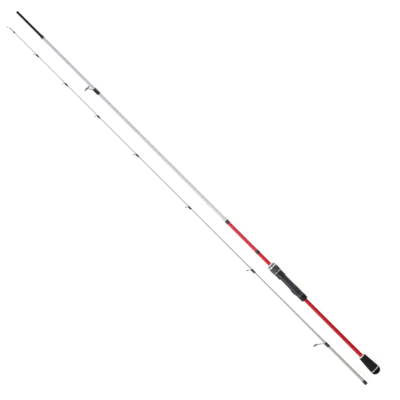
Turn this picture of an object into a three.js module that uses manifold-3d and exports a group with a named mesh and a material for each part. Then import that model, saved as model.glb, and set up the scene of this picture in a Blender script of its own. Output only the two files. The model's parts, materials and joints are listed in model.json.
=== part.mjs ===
// A two-piece spinning rod, taken apart: the butt section with its reel seat and grip, and the
// tip section with seven guides and a tip-top, lying side by side on a floor.
//
// Millimetres. +X runs from the butt to the tip, +Y is the side that the guides stand on, +Z is up
// and z = 0 is the floor. Each section is built along its own axis, with x = 0 at its butt end and
// its guides on +y, and is then rolled a little about that axis, so that the guides lean down.

import * as THREE from 'three';
import { mergeVertices } from 'three/addons/utils/BufferGeometryUtils.js';
import Module from 'manifold-3d';

const wasm = await Module();
wasm.setup();

// ---------------------------------------------------------------- driving dimensions

const BUTT_LENGTH = 1246; // butt cap to male ferrule end
const TIP_LENGTH = 1235.5; // female ferrule mouth to the middle of the tip-top's ring
const SECTION_SPACING = 40.2; // between the two axes as they lie
const TIP_START = 0.7; // how far the female mouth lies ahead of the butt cap's end

const GLUE_GAP = 0.2; // between pieces that are glued or pressed together
const RUN_GAP = 0.3; // between pieces that slide or turn on each other
const RING_GAP = 0.12; // between a guide's hoop and its ceramic ring
const SLIP_GAP = 0.12; // between the male ferrule and its socket
const EDGE = 0.5; // chamfer on turned pieces
const FINE_EDGE = 0.3; // chamfer on thin turned pieces
const WRAP_EDGE = 0.15; // chamfer on bands of thread

const SIDES = 20; // flat sides of a turned piece
const SMALL_SIDES = 16; // flat sides of a turned piece under 8 mm across

// Butt blank: a tapered tube with one wall, which steps down to the male ferrule
const BUTT_BLANK = { thickRadius: 5.15, wall: 1, shoulderStep: 0.4, shoulderRun: 1 };
const FERRULE = { radius: 3.3, endRadius: 3.15, length: 83 };

// Tip blank: the socket that takes the male ferrule, then outer radii at shares of the length
const SOCKET = { wall: 0.4, extra: 5 };
const TIP_TAPER = [[0.14, 2.9], [0.185, 2.45], [0.285, 1.95], [0.455, 1.4], [0.72, 1.02], [1, 0.72]];

// Butt end, from the end of the cap forwards
const CAP = { length: 11.7, radius: 12.3, endRadius: 3.4, endWall: 3.5, steps: 6 };
const GRIP_RING = { length: 2.2, radius: 12.4 };
const GRIP = { length: 41.7, rearRadius: 12.2, frontRadius: 9, rim: 0.5 };
const GRIP_CHECK = { length: 2.6, rearWall: 3.2, frontWall: 2.4 };

// Reel seat, from its rear cap forwards. Its bore takes two arbors on the blank, and its walls
// are counted from the bore.
const SEAT = { start: 252.4, arborWall: 1, spigotWall: 1.15, bodyWall: 2.4, rearWall: 2.7, capWall: 1.2 };
const ARBOR_LENGTH = 20;
const SEAT_REAR_CAP = { length: 13.7, wall: 1.7, endWall: 1.1, roundOver: 1.2 };
const SEAT_REAR_RING = { length: 1.2, wall: 1.9 };
const FIXED_HOOD = { offset: 0.7, wall: 1.2, start: 3, crown: 14, mouth: 24.5 };
const POCKET = { depth: 12, wall: 1.1, relief: 0.3, lead: 1 }; // of the fixed hood, over the bed
const BED_WALL = 1.1; // from the bore to the flat that the reel foot lies on
const BARREL_LENGTH = 95.5; // reel seat body between its two end spigots
const THREAD = { drop: 0.1, depth: 0.7, pitch: 2.5, length: 25 };
const KEY = { width: 3, lift: 0.1, root: 0.5 };
const SEAT_FRONT_RING = { length: 4.4, wall: 3.6 };
const SEAT_FRONT_CAP = { length: 2.4, wall: 2.5 };
const WINDING_CHECK = { length: 3.7, rearWall: 3, frontWall: 1.2 };

// Moving parts of the reel seat, at rest against the front ring: nut, hood ring, hood. Their
// walls are counted from the bores they run on.
const NUT = { length: 13.6, wall: 1.1, neckDepth: 4.5 };
const HOOD_RING = { length: 2, wall: 1 };
const HOOD = { length: 17, wall: 1.45, neckWall: 0.9, pocketWall: 0.9, pocketWidth: 9.6 };
const HOOD_TRAVEL = 12.5; // how far the hood slides back from rest

// Trim bands and thread wraps. gap: clear length behind a band, counted from the winding check
const REAR_TRIM = { gap: 37.8, length: 8.7, thickness: 0.3 };
const FRONT_TRIM = { gap: 94.9, length: 9.3, thickness: 0.3 };
const PALE_TRIM = { gap: 0.3, length: 9, thickness: 0.3 };
const FERRULE_WRAP = { length: 8.1, thickness: 0.3 };
const SOCKET_WRAP = { length: 12.2, thickness: 0.3 };

// Guides. at: where the wrap's middle is, as a share of the blank it stands on; reach: from the
// wrap's middle forwards to the ring's centre; rise: from the blank's axis to the ring's centre;
// lean: how far the ring's outer edge tips towards the rod's tip; spread: where the two struts
// meet the hoop, as an angle from the hoop's near edge.
const FOOT_INSET = 1; // from a wrap's rear end to the foot's rear end
const RING_PROUD = 0.12; // how far a ceramic ring stands out of its hoop, as a share of its width
const STRIPPER = {
  at: 0.8343, wrap: 18, foot: [2.6, 0.5], reach: 22.6, radius: 8.2, hoop: 1, ring: 1.3,
  width: 1.8, strut: 0.6, lean: 0, spread: 85, thickness: 0.45,
};
const GUIDE_1 = {
  at: 0.1101, wrap: 13.9, foot: [2.4, 0.6], reach: 18.4, rise: 22.6, radius: 6.1, hoop: 0.9,
  ring: 1.1, width: 1.6, strut: 0.6, lean: 19, spread: 32, thickness: 0.45,
};
const GUIDE_2 = {
  at: 0.316, wrap: 12.9, foot: [2, 0.8], reach: 10.9, rise: 10, radius: 3.6, hoop: 0.65,
  ring: 0.75, width: 1.2, strut: 0.45, lean: 30, spread: 60, thickness: 0.6,
};
const SMALL_GUIDE = {
  wrap: 9.8, foot: [1.6, 0.8], reach: 7.9, radius: 3.1, hoop: 0.55, ring: 0.7,
  width: 1.1, strut: 0.4, lean: 36, spread: 65, thickness: 0.7,
};
const SMALL_GUIDES = [
  { at: 0.4926, rise: 6.1 },
  { at: 0.6388, rise: 5.4 },
  { at: 0.7468, rise: 5.4 },
  { at: 0.8368, rise: 4.8 },
  { at: 0.9176, rise: 4.6 },
];
const TIP_TOP = {
  tube: 13, tubeWall: 0.5, cup: 1.2, reach: 5.2, rise: 3.2, radius: 3.1, hoop: 0.55, ring: 0.7,
  width: 1.1, strut: 0.4, lean: 50, spread: 70, wrap: 5.5, wrapThickness: 0.8,
};

// ---------------------------------------------------------------- materials

const finish = (color, roughness, metalness = 0) =>
  new THREE.MeshStandardMaterial({ color, roughness, metalness });

const paint = () => finish(0xb01c26, 0.25);
const glass = () => finish(0xc9ccd2, 0.35);
const thread = () => finish(0x141314, 0.3);
const paleBand = () => finish(0xd8d6d8, 0.4);
const graphite = () => finish(0x33323a, 0.45);
const blackPlastic = () => finish(0x1c1b1c, 0.5);
const brightMetal = () => finish(0xc8c8ca, 0.25, 1);
const darkMetal = () => finish(0x2b2b2d, 0.35, 1);
const ceramic = () => finish(0x3a3c40, 0.15);
const foam = () => finish(0x1b1a19, 0.9);
const cork = () => finish(0xb08a5a, 0.9);

// ---------------------------------------------------------------- shapes

/**
 * A turned solid about the x axis. The profile is [x, radius] pairs going forwards along the
 * outside and back along the bore; it closes on itself, or starts and ends on the axis.
 */
function turned(profile, sides = SIDES) {
  const onAxis = profile[0][1] === 0;
  const outline = onAxis ? profile : [...profile, profile[0]];
  const points = outline.map(([x, radius]) => new THREE.Vector2(radius, x));
  return new THREE.LatheGeometry(points, sides).rotateZ(-Math.PI / 2);
}

/** A sleeve from x0 to x1 whose bore follows a taper and whose outer edges are chamfered. */
function sleeve(x0, x1, boreAt, outer0, outer1 = outer0, sides = SIDES, edge = EDGE) {
  return turned([
    [x0, boreAt(x0)],
    [x0, outer0 - edge],
    [x0 + edge, outer0],
    [x1 - edge, outer1],
    [x1, outer1 - edge],
    [x1, boreAt(x1)],
  ], sides);
}

/** The manifold solid of a closed geometry, with its shared vertices merged. */
function solid(geometry) {
  const bare = geometry.clone();
  bare.deleteAttribute('normal');
  bare.deleteAttribute('uv');
  const merged = mergeVertices(bare, 1e-4);
  const index = merged.index.array;
  const triangles = [];
  for (let i = 0; i < index.length; i += 3) {
    const [a, b, c] = [index[i], index[i + 1], index[i + 2]];
    if (a !== b && b !== c && c !== a) triangles.push(a, b, c);
  }
  return new wasm.Manifold(new wasm.Mesh({
    numProp: 3,
    vertProperties: new Float32Array(merged.attributes.position.array),
    triVerts: new Uint32Array(triangles),
  }));
}

/** The geometry of a manifold solid. */
function geometryOf(manifold) {
  const mesh = manifold.getMesh();
  const geometry = new THREE.BufferGeometry();
  geometry.setAttribute('position', new THREE.BufferAttribute(mesh.vertProperties, 3));
  geometry.setIndex(new THREE.BufferAttribute(mesh.triVerts, 1));
  geometry.computeVertexNormals();
  return geometry;
}

/** A box between two corners. */
function boxBetween([x0, y0, z0], [x1, y1, z1]) {
  const box = new THREE.BoxGeometry(x1 - x0, y1 - y0, z1 - z0);
  return box.translate((x0 + x1) / 2, (y0 + y1) / 2, (z0 + z1) / 2);
}

/** A plain rod from x0 to x1 about the x axis, whose radius follows a taper. */
function rodBetween(x0, x1, radiusAt, sides = SIDES) {
  return turned([[x0, 0], [x0, radiusAt(x0)], [x1, radiusAt(x1)], [x1, 0]], sides);
}

/** A round strut of one radius along a straight line or a curve. */
function strutAlong(curve, radius) {
  const section = new THREE.Shape();
  const corners = 6;
  for (let i = 0; i < corners; i += 1) {
    const angle = (2 * Math.PI * i) / corners;
    const [x, y] = [radius * Math.cos(angle), radius * Math.sin(angle)];
    if (i === 0) section.moveTo(x, y);
    else section.lineTo(x, y);
  }
  return new THREE.ExtrudeGeometry(section, { steps: 4, bevelEnabled: false, extrudePath: curve });
}

/** A named mesh. */
function piece(name, geometry, material) {
  const mesh = new THREE.Mesh(geometry, material);
  mesh.name = name;
  return mesh;
}

// ---------------------------------------------------------------- blanks

const shoulder = BUTT_LENGTH - FERRULE.length;
const tipTubeEnd = TIP_LENGTH - TIP_TOP.reach;
const tipBlankEnd = tipTubeEnd - TIP_TOP.cup;
const socketMouthRadius = FERRULE.radius + SLIP_GAP;
const socketFloorRadius = FERRULE.endRadius + SLIP_GAP;
const socketDepth = FERRULE.length + SOCKET.extra;

/** Outer radius of the butt blank behind its shoulder. */
function buttRadius(x) {
  const { thickRadius, shoulderStep } = BUTT_BLANK;
  return thickRadius + ((FERRULE.radius + shoulderStep - thickRadius) * x) / shoulder;
}

/** The outside of the tip blank as [x, radius] pairs. */
const tipOutline = [
  [0, socketMouthRadius + SOCKET.wall],
  [socketDepth, socketFloorRadius + SOCKET.wall],
  ...TIP_TAPER.map(([share, radius]) => [share * tipBlankEnd, radius]),
];

/** Outer radius of the tip blank. */
function tipRadius(x) {
  const at = Math.min(Math.max(x, 0), tipBlankEnd);
  const next = Math.max(1, tipOutline.findIndex(([station]) => station >= at));
  const [[x0, radius0], [x1, radius1]] = [tipOutline[next - 1], tipOutline[next]];
  return radius0 + ((radius1 - radius0) * (at - x0)) / (x1 - x0);
}

const besideButt = (x) => buttRadius(x) + GLUE_GAP;
const besideTip = (x) => tipRadius(x) + GLUE_GAP;

function buttBlank() {
  const { wall, shoulderRun } = BUTT_BLANK;
  const start = CAP.endWall + GLUE_GAP;
  const coneStart = shoulder - shoulderRun;
  return turned([
    [start, buttRadius(start) - wall],
    [start, buttRadius(start)],
    [coneStart, buttRadius(coneStart)],
    [shoulder, FERRULE.radius],
    [BUTT_LENGTH - EDGE, FERRULE.endRadius],
    [BUTT_LENGTH, FERRULE.endRadius - EDGE],
    [BUTT_LENGTH, FERRULE.endRadius - wall],
    [shoulder, FERRULE.radius - wall],
    [coneStart, buttRadius(coneStart) - wall],
  ]);
}

function tipBlank() {
  return turned([
    [socketDepth, 0],
    [socketDepth, socketFloorRadius],
    [0, socketMouthRadius],
    ...tipOutline,
    [tipBlankEnd, 0],
  ]);
}

// ---------------------------------------------------------------- guides

/** Where a guide's ring stands, seen from its wrap's middle, and the ring's turn about z. */
function placeRing(geometry, guide) {
  return geometry.rotateZ(-THREE.MathUtils.degToRad(guide.lean)).translate(guide.reach, guide.rise, 0);
}

/** The round band that holds a guide's ring, as a solid disc, and the hole through it. */
function hoopDisc(guide) {
  const half = guide.width / 2;
  const disc = turned([[-half, 0], [-half, guide.radius], [half, guide.radius], [half, 0]], SMALL_SIDES);
  return solid(placeRing(disc, guide));
}

function hoopHole(guide) {
  const bore = guide.radius - guide.hoop;
  return solid(placeRing(rodBetween(-guide.width, guide.width, () => bore, SMALL_SIDES), guide));
}

/** A guide's ceramic ring: rounded inside, where the line runs, and a little wider than the hoop. */
function ceramicRing(guide) {
  const outer = guide.radius - guide.hoop - RING_GAP;
  const inner = outer - guide.ring;
  const half = guide.width * (0.5 + RING_PROUD);
  const lip = guide.width / 4;
  const ring = turned([
    [-lip, inner],
    [-half, inner + guide.ring / 2],
    [-half, outer],
    [half, outer],
    [half, inner + guide.ring / 2],
    [lip, inner],
  ], SMALL_SIDES);
  return placeRing(ring, guide);
}

/** A strut from a point on the frame's foot to the hoop, on the side given by 1 or -1. */
function strut(guide, from, side) {
  const spread = THREE.MathUtils.degToRad(guide.spread);
  const lean = THREE.MathUtils.degToRad(guide.lean);
  const middle = guide.radius - guide.hoop / 2;
  const inwards = middle * Math.cos(spread);
  const end = new THREE.Vector3(
    guide.reach - inwards * Math.sin(lean),
    guide.rise - inwards * Math.cos(lean),
    side * middle * Math.sin(spread),
  );
  const start = from.clone().setZ(side * from.z);
  return solid(strutAlong(new THREE.LineCurve3(start, end), guide.strut));
}

/** The flat foot of a guide on its blank, grown on every side by a gap when it is a cutter. */
function foot(guide, seat, gap = 0) {
  const [width, thickness] = guide.foot;
  const rear = -guide.wrap / 2 + FOOT_INSET;
  const front = guide.wrap / 2 + 2 * guide.strut;
  return solid(boxBetween(
    [rear - gap, seat - gap, -width / 2 - gap],
    [front + gap, seat + thickness + gap, width / 2 + gap],
  ));
}

function guideFrame(guide, seat) {
  const [width, thickness] = guide.foot;
  const from = new THREE.Vector3(
    guide.wrap / 2 + guide.strut,
    seat + thickness / 2,
    width / 2 - guide.strut,
  );
  const struts = strut(guide, from, 1).add(strut(guide, from, -1));
  return geometryOf(foot(guide, seat).add(struts).add(hoopDisc(guide)).subtract(hoopHole(guide)));
}

/** The thread wrap over a guide's foot: round, and lifted a little to cover the foot. */
function guideWrap(guide, seat, boreAt) {
  const [, thickness] = guide.foot;
  const half = guide.wrap / 2;
  const rise = thickness / 2;
  const crown = seat + guide.thickness + rise;
  const rim = seat + rise + GLUE_GAP;
  const slope = half - FOOT_INSET;
  const body = turned([[-half, 0], [-half, rim], [-slope, crown], [slope, crown], [half, rim], [half, 0]]);
  const bore = rodBetween(-half - EDGE, half + EDGE, boreAt);
  const lifted = solid(body.translate(0, rise, 0));
  return geometryOf(lifted.subtract(solid(bore)).subtract(foot(guide, seat, GLUE_GAP)));
}

/** The frame, ring and wrap of one guide, on a blank whose radius follows a taper. */
function guideOn(name, guide, station, radiusAt) {
  const rearRadius = radiusAt(station - guide.wrap / 2);
  const seat = rearRadius + GLUE_GAP;
  const boreAt = (x) => radiusAt(station + x) + GLUE_GAP;
  const group = new THREE.Group();
  group.position.x = station;
  group.add(
    piece(`${name}_frame`, guideFrame(guide, seat), darkMetal()),
    piece(`${name}_ring`, ceramicRing(guide), ceramic()),
    piece(`${name}_wrap`, guideWrap(guide, seat, boreAt), thread()),
  );
  return group;
}

/** The tip-top: a tube over the blank's end, two struts and a hoop with its ring. */
function tipTop() {
  const bore = tipRadius(tipTubeEnd - TIP_TOP.tube) + GLUE_GAP;
  const outer = bore + TIP_TOP.tubeWall;
  const tube = turned([
    [-TIP_TOP.cup + GLUE_GAP, 0],
    [-TIP_TOP.cup + GLUE_GAP, bore],
    [-TIP_TOP.tube, bore],
    [-TIP_TOP.tube, outer],
    [-EDGE, outer],
    [0, outer - EDGE],
    [0, 0],
  ], SMALL_SIDES);
  const from = new THREE.Vector3(-TIP_TOP.strut, outer / 2, outer - TIP_TOP.strut);
  const struts = strut(TIP_TOP, from, 1).add(strut(TIP_TOP, from, -1));
  const frame = solid(tube).add(struts).add(hoopDisc(TIP_TOP)).subtract(hoopHole(TIP_TOP));
  const wrapEnd = -TIP_TOP.tube - GLUE_GAP;
  const wrapStart = wrapEnd - TIP_TOP.wrap;
  const boreAt = (x) => besideTip(tipTubeEnd + x);
  const [wrap0, wrap1] = [wrapStart, wrapEnd].map((x) => boreAt(x) + TIP_TOP.wrapThickness);
  const group = new THREE.Group();
  group.position.x = tipTubeEnd;
  group.add(
    piece('tip_top_frame', geometryOf(frame), darkMetal()),
    piece('tip_top_ring', ceramicRing(TIP_TOP), ceramic()),
    piece('tip_top_wrap', sleeve(
      wrapStart, wrapEnd, boreAt, wrap0, wrap1, SMALL_SIDES, WRAP_EDGE,
    ), thread()),
  );
  return group;
}

// ---------------------------------------------------------------- butt end

const gripRingStart = CAP.length + GLUE_GAP;
const gripRingEnd = gripRingStart + GRIP_RING.length;
const gripStart = gripRingEnd + GLUE_GAP;
const gripEnd = gripStart + GRIP.length;

/** The butt cap: a dome that is a quarter of an ellipse round a flat end. */
function buttCap() {
  const { length, radius, endRadius, endWall, steps } = CAP;
  const bore = besideButt(endWall);
  const dome = [];
  for (let i = 0; i <= steps; i += 1) {
    const turn = (Math.PI / 2) * (i / steps);
    dome.push([length * (1 - Math.cos(turn)), endRadius + (radius - endRadius) * Math.sin(turn)]);
  }
  return turned([[0, 0], ...dome, [length, bore], [endWall, bore], [endWall, 0]]);
}

/** The bright ring behind the grip. */
function gripRing() {
  return sleeve(gripRingStart, gripRingEnd, besideButt, GRIP_RING.radius);
}

/** The foam grip: a straight taper with a flat front face. */
function buttGrip() {
  return turned([
    [gripStart, besideButt(gripStart)],
    [gripStart, GRIP.rearRadius],
    [gripEnd - GRIP.rim, GRIP.frontRadius],
    [gripEnd, GRIP.frontRadius - GRIP.rim],
    [gripEnd, besideButt(gripEnd)],
  ]);
}

/** A bright ring on the butt blank that narrows forwards from one wall to another. */
function checkRing(start, { length, rearWall, frontWall }) {
  const bore = besideButt(start);
  const [rear, front] = [bore + rearWall, bore + frontWall];
  return sleeve(start, start + length, besideButt, rear, front, SIDES, FINE_EDGE);
}

// ---------------------------------------------------------------- reel seat

const rearCapEnd = SEAT.start + SEAT_REAR_CAP.length;
const rearRingStart = rearCapEnd + GLUE_GAP;
const rearRingEnd = rearRingStart + SEAT_REAR_RING.length;
const barrelStart = rearRingEnd + GLUE_GAP;
const barrelEnd = barrelStart + BARREL_LENGTH;
const frontRingStart = barrelEnd + GLUE_GAP;
const frontRingEnd = frontRingStart + SEAT_FRONT_RING.length;
const frontCapStart = frontRingEnd + GLUE_GAP;
const seatEnd = frontCapStart + SEAT_FRONT_CAP.length;
const checkStart = seatEnd + GLUE_GAP;
const checkEnd = checkStart + WINDING_CHECK.length;
const spigotStart = SEAT.start + SEAT.capWall + GLUE_GAP;
const spigotEnd = seatEnd - SEAT.capWall - GLUE_GAP;

const nutEnd = barrelEnd - GLUE_GAP;
const nutStart = nutEnd - NUT.length;
const hoodRingEnd = nutStart - RUN_GAP;
const hoodRingStart = hoodRingEnd - HOOD_RING.length;
const hoodEnd = hoodRingStart - GLUE_GAP;
const hoodStart = hoodEnd - HOOD.length;
const hoodRearmost = hoodStart - HOOD_TRAVEL - RUN_GAP; // clear of the hood at its rearmost

const arborRadius = besideButt(SEAT.start) + SEAT.arborWall;
const seatBore = arborRadius + GLUE_GAP;
const spigotRadius = seatBore + SEAT.spigotWall;
const bodyRadius = seatBore + SEAT.bodyWall;
const fixedHoodRadius = bodyRadius + FIXED_HOOD.wall;
const bedHeight = seatBore + BED_WALL;
const pocketFloor = bedHeight - POCKET.relief;
const threadCrest = bodyRadius - THREAD.drop;
const threadRoot = threadCrest - THREAD.depth;

const slideBore = bodyRadius + RUN_GAP;
const neckRadius = slideBore + HOOD.neckWall;
const neckBore = neckRadius + RUN_GAP;
const hoodRadius = slideBore + HOOD.wall;
const slotFloor = spigotRadius + KEY.lift;
const keyFloor = slotFloor + RUN_GAP;

/** The seat's body as a turned solid, with ridges of the thread's pitch on its front end. */
function seatBody() {
  const threadStart = barrelEnd - THREAD.length;
  const turns = Math.floor(THREAD.length / THREAD.pitch);
  const ridges = [];
  for (let i = 0; i < turns; i += 1) {
    const root = threadStart + i * THREAD.pitch;
    ridges.push([root, threadRoot], [root + THREAD.pitch / 2, threadCrest]);
  }
  return turned([
    [spigotStart, 0],
    [spigotStart, spigotRadius],
    [barrelStart, spigotRadius],
    [barrelStart, seatBore + SEAT.rearWall],
    [hoodRearmost, bodyRadius],
    [threadStart - THREAD.pitch / 2, bodyRadius],
    ...ridges,
    [barrelEnd, threadRoot],
    [barrelEnd, spigotRadius],
    [spigotEnd, spigotRadius],
    [spigotEnd, 0],
  ]);
}

/** The fixed hood: a swelling of the body that is offset towards the guides. */
function fixedHood() {
  const { offset, start, crown, mouth } = FIXED_HOOD;
  const buried = bodyRadius - offset - EDGE;
  const swelling = turned([
    [barrelStart + start, 0],
    [barrelStart + start, buried],
    [barrelStart + crown, fixedHoodRadius],
    [barrelStart + mouth, fixedHoodRadius],
    [hoodRearmost, buried],
    [hoodRearmost, 0],
  ]);
  return swelling.translate(0, offset, 0);
}

/**
 * A pocket for the reel foot: the part of a round bore above a floor and within a width. The
 * bore's axis may lie above the seat's axis by an offset.
 */
function archedPocket(x0, x1, radius, floor, width, offset = 0) {
  const arch = rodBetween(x0, x1, () => radius).translate(0, offset, 0);
  const inside = boxBetween([x0, floor, -width / 2], [x1, offset + radius, width / 2]);
  return solid(arch).intersect(solid(inside));
}

/** The seat's body, with its foot bed cut flat, the fixed hood's pocket and the key slot. */
function reelSeat() {
  const mouth = barrelStart + FIXED_HOOD.mouth;
  const beyond = fixedHoodRadius + FIXED_HOOD.offset + EDGE;
  const arch = fixedHoodRadius - POCKET.wall;
  const slotHalf = KEY.width / 2 + RUN_GAP;
  const cuts = [
    solid(rodBetween(spigotStart - EDGE, spigotEnd + EDGE, () => seatBore)),
    solid(boxBetween([mouth, bedHeight, -beyond], [hoodEnd, beyond, beyond])),
    solid(boxBetween([hoodStart - RUN_GAP, pocketFloor, -beyond], [hoodEnd, beyond, beyond])),
    archedPocket(
      mouth - POCKET.depth, mouth + POCKET.lead, arch, pocketFloor, 2 * arch, FIXED_HOOD.offset,
    ),
    solid(boxBetween(
      [hoodRearmost + EDGE, -beyond, -slotHalf],
      [barrelEnd + EDGE, -slotFloor, slotHalf],
    )),
  ];
  const body = solid(seatBody()).add(solid(fixedHood()));
  return geometryOf(cuts.reduce((rest, cut) => rest.subtract(cut), body));
}

/** The hood that slides on the barrel: a neck for the nut, a foot pocket and a key. */
function slidingHood() {
  const neckEnd = nutStart + NUT.neckDepth;
  const body = turned([
    [hoodStart, slideBore],
    [hoodStart, hoodRadius - EDGE],
    [hoodStart + EDGE, hoodRadius],
    [hoodEnd - EDGE, hoodRadius],
    [hoodEnd, hoodRadius - EDGE],
    [hoodEnd, neckRadius],
    [neckEnd, neckRadius],
    [neckEnd, slideBore],
  ]);
  const arch = hoodRadius - HOOD.pocketWall;
  const pocketEnd = hoodEnd - HOOD.pocketWall;
  const pocket = archedPocket(hoodStart - EDGE, pocketEnd, arch, 0, HOOD.pocketWidth);
  const key = boxBetween(
    [hoodStart + EDGE, -slideBore - KEY.root, -KEY.width / 2],
    [hoodEnd, -keyFloor, KEY.width / 2],
  );
  return geometryOf(solid(body).subtract(pocket).add(solid(key)));
}

/** The locking nut: it turns on the thread's crests and round the hood's neck. */
function lockingNut() {
  const threadBore = threadCrest + RUN_GAP;
  const neckFloor = nutStart + NUT.neckDepth + RUN_GAP;
  const radius = neckBore + NUT.wall;
  return turned([
    [nutStart, neckBore],
    [nutStart, radius - EDGE],
    [nutStart + EDGE, radius],
    [nutEnd - EDGE, radius],
    [nutEnd, radius - EDGE],
    [nutEnd, threadBore],
    [neckFloor, threadBore],
    [neckFloor, neckBore],
  ]);
}

/** The bright ring between the hood and the nut, on the hood's neck. */
function hoodRing() {
  const bore = neckRadius + GLUE_GAP;
  const radius = bore + HOOD_RING.wall;
  return sleeve(hoodRingStart, hoodRingEnd, () => bore, radius, radius, SIDES, FINE_EDGE);
}

/** A bushing in the seat's bore, on the blank. */
function arbor(start) {
  const end = start + ARBOR_LENGTH;
  return sleeve(start, end, besideButt, arborRadius, arborRadius, SIDES, FINE_EDGE);
}

const spigotBore = spigotRadius + GLUE_GAP;

/** A plain ring on one of the seat's spigots. */
function spigotRing(start, end, { wall }) {
  return sleeve(start, end, () => spigotBore, spigotBore + wall);
}

/** The seat's rear cap: nearly straight, with its rear edge taken off. */
function seatRearCap() {
  const { wall, endWall, roundOver } = SEAT_REAR_CAP;
  const hole = besideButt(SEAT.start);
  const endRadius = spigotBore + endWall;
  return turned([
    [SEAT.start, hole],
    [SEAT.start, endRadius - roundOver],
    [SEAT.start + roundOver, endRadius],
    [rearCapEnd - EDGE, spigotBore + wall],
    [rearCapEnd, spigotBore + wall - EDGE],
    [rearCapEnd, spigotBore],
    [spigotStart - GLUE_GAP, spigotBore],
    [spigotStart - GLUE_GAP, hole],
  ]);
}

/** The seat's front cap, between the front ring and the winding check. */
function seatFrontCap() {
  const radius = spigotBore + SEAT_FRONT_CAP.wall;
  const hole = besideButt(spigotEnd);
  return turned([
    [frontCapStart, spigotBore],
    [frontCapStart, radius],
    [seatEnd - EDGE, radius],
    [seatEnd, radius - EDGE],
    [seatEnd, hole],
    [spigotEnd + GLUE_GAP, hole],
    [spigotEnd + GLUE_GAP, spigotBore],
  ]);
}

function seatPieces() {
  const rearRing = spigotRing(rearRingStart, rearRingEnd, SEAT_REAR_RING);
  const frontRing = spigotRing(frontRingStart, frontRingEnd, SEAT_FRONT_RING);
  const frontArborStart = spigotEnd - GLUE_GAP - ARBOR_LENGTH;
  return [
    piece('seat_rear_cap', seatRearCap(), blackPlastic()),
    piece('seat_rear_ring', rearRing, brightMetal()),
    piece('reel_seat', reelSeat(), graphite()),
    piece('seat_front_ring', frontRing, brightMetal()),
    piece('seat_front_cap', seatFrontCap(), blackPlastic()),
    piece('winding_check', checkRing(checkStart, WINDING_CHECK), brightMetal()),
    piece('rear_arbor', arbor(spigotStart + GLUE_GAP), cork()),
    piece('front_arbor', arbor(frontArborStart), cork()),
  ];
}

function movingSeatPieces() {
  return [
    piece('sliding_hood', slidingHood(), graphite()),
    piece('hood_ring', hoodRing(), brightMetal()),
    piece('locking_nut', lockingNut(), graphite()),
  ];
}

// ---------------------------------------------------------------- sections

/** A band of thread or tape round a blank from x0, of one length and thickness. */
function bandOn(boreAt, x0, { length, thickness }) {
  const x1 = x0 + length;
  const [outer0, outer1] = [boreAt(x0) + thickness, boreAt(x1) + thickness];
  return sleeve(x0, x1, boreAt, outer0, outer1, SIDES, WRAP_EDGE);
}

function buttSection() {
  const group = new THREE.Group();
  const rearTrim = checkEnd + REAR_TRIM.gap;
  const frontTrim = rearTrim + REAR_TRIM.length + FRONT_TRIM.gap;
  const paleTrim = frontTrim + FRONT_TRIM.length + PALE_TRIM.gap;
  const wrapStart = shoulder - BUTT_BLANK.shoulderRun - FERRULE_WRAP.length;
  const station = STRIPPER.at * shoulder;
  const rise = buttRadius(station) + RUN_GAP + STRIPPER.radius;
  group.add(
    piece('butt_blank', buttBlank(), paint()),
    piece('butt_cap', buttCap(), blackPlastic()),
    piece('grip_ring', gripRing(), brightMetal()),
    piece('butt_grip', buttGrip(), foam()),
    piece('grip_check', checkRing(gripEnd + GLUE_GAP, GRIP_CHECK), brightMetal()),
    ...seatPieces(),
    ...movingSeatPieces(),
    piece('rear_trim_wrap', bandOn(besideButt, rearTrim, REAR_TRIM), thread()),
    piece('front_trim_wrap', bandOn(besideButt, frontTrim, FRONT_TRIM), thread()),
    piece('pale_trim_wrap', bandOn(besideButt, paleTrim, PALE_TRIM), paleBand()),
    guideOn('stripper', { ...STRIPPER, rise }, station, buttRadius),
    piece('ferrule_wrap', bandOn(besideButt, wrapStart, FERRULE_WRAP), thread()),
  );
  return group;
}

function tipSection() {
  const group = new THREE.Group();
  const guides = [GUIDE_1, GUIDE_2, ...SMALL_GUIDES.map((guide) => ({ ...SMALL_GUIDE, ...guide }))];
  group.add(
    piece('tip_blank', tipBlank(), glass()),
    piece('socket_wrap', bandOn(besideTip, GLUE_GAP, SOCKET_WRAP), thread()),
    ...guides.map((guide, i) => guideOn(`guide_${i + 1}`, guide, guide.at * TIP_LENGTH, tipRadius)),
    tipTop(),
  );
  return group;
}

// Both sections lie level at the height of the butt end's thickest piece, rolled until the first
// guide's ring reaches the floor.
const restRadius = Math.max(CAP.radius, GRIP_RING.radius, GRIP.rearRadius);
const roll = Math.asin((restRadius - GUIDE_1.radius) / GUIDE_1.rise);

const rod = new THREE.Group();
const butt = buttSection();
const tip = tipSection();
butt.rotation.x = -roll;
tip.rotation.x = -roll;
tip.position.set(TIP_START, SECTION_SPACING, 0);
rod.add(butt, tip);

// The origin is under the middle of the whole, on the floor.
const box = new THREE.Box3().setFromObject(rod, true);
const centre = box.getCenter(new THREE.Vector3());
rod.position.set(-centre.x, -centre.y, -box.min.z);

export default rod;
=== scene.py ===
"""Looks for a two-piece spinning rod that lies taken apart on a studio floor.

Metres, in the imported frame: +X runs from the butt to the tip, +Y is the side that the guides
stand on, +Z is up. Each section of the rod is built along its own axis. A surface is a grid of
points, worked out as whole arrays from distances along the axis, towards the guides and across
them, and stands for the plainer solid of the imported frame.
"""

import json
import logging
import math
from collections.abc import Callable, Sequence
from dataclasses import dataclass, field
from enum import Enum
from typing import Protocol

import bpy
import numpy as np
from mathutils import Matrix, Vector


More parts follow.
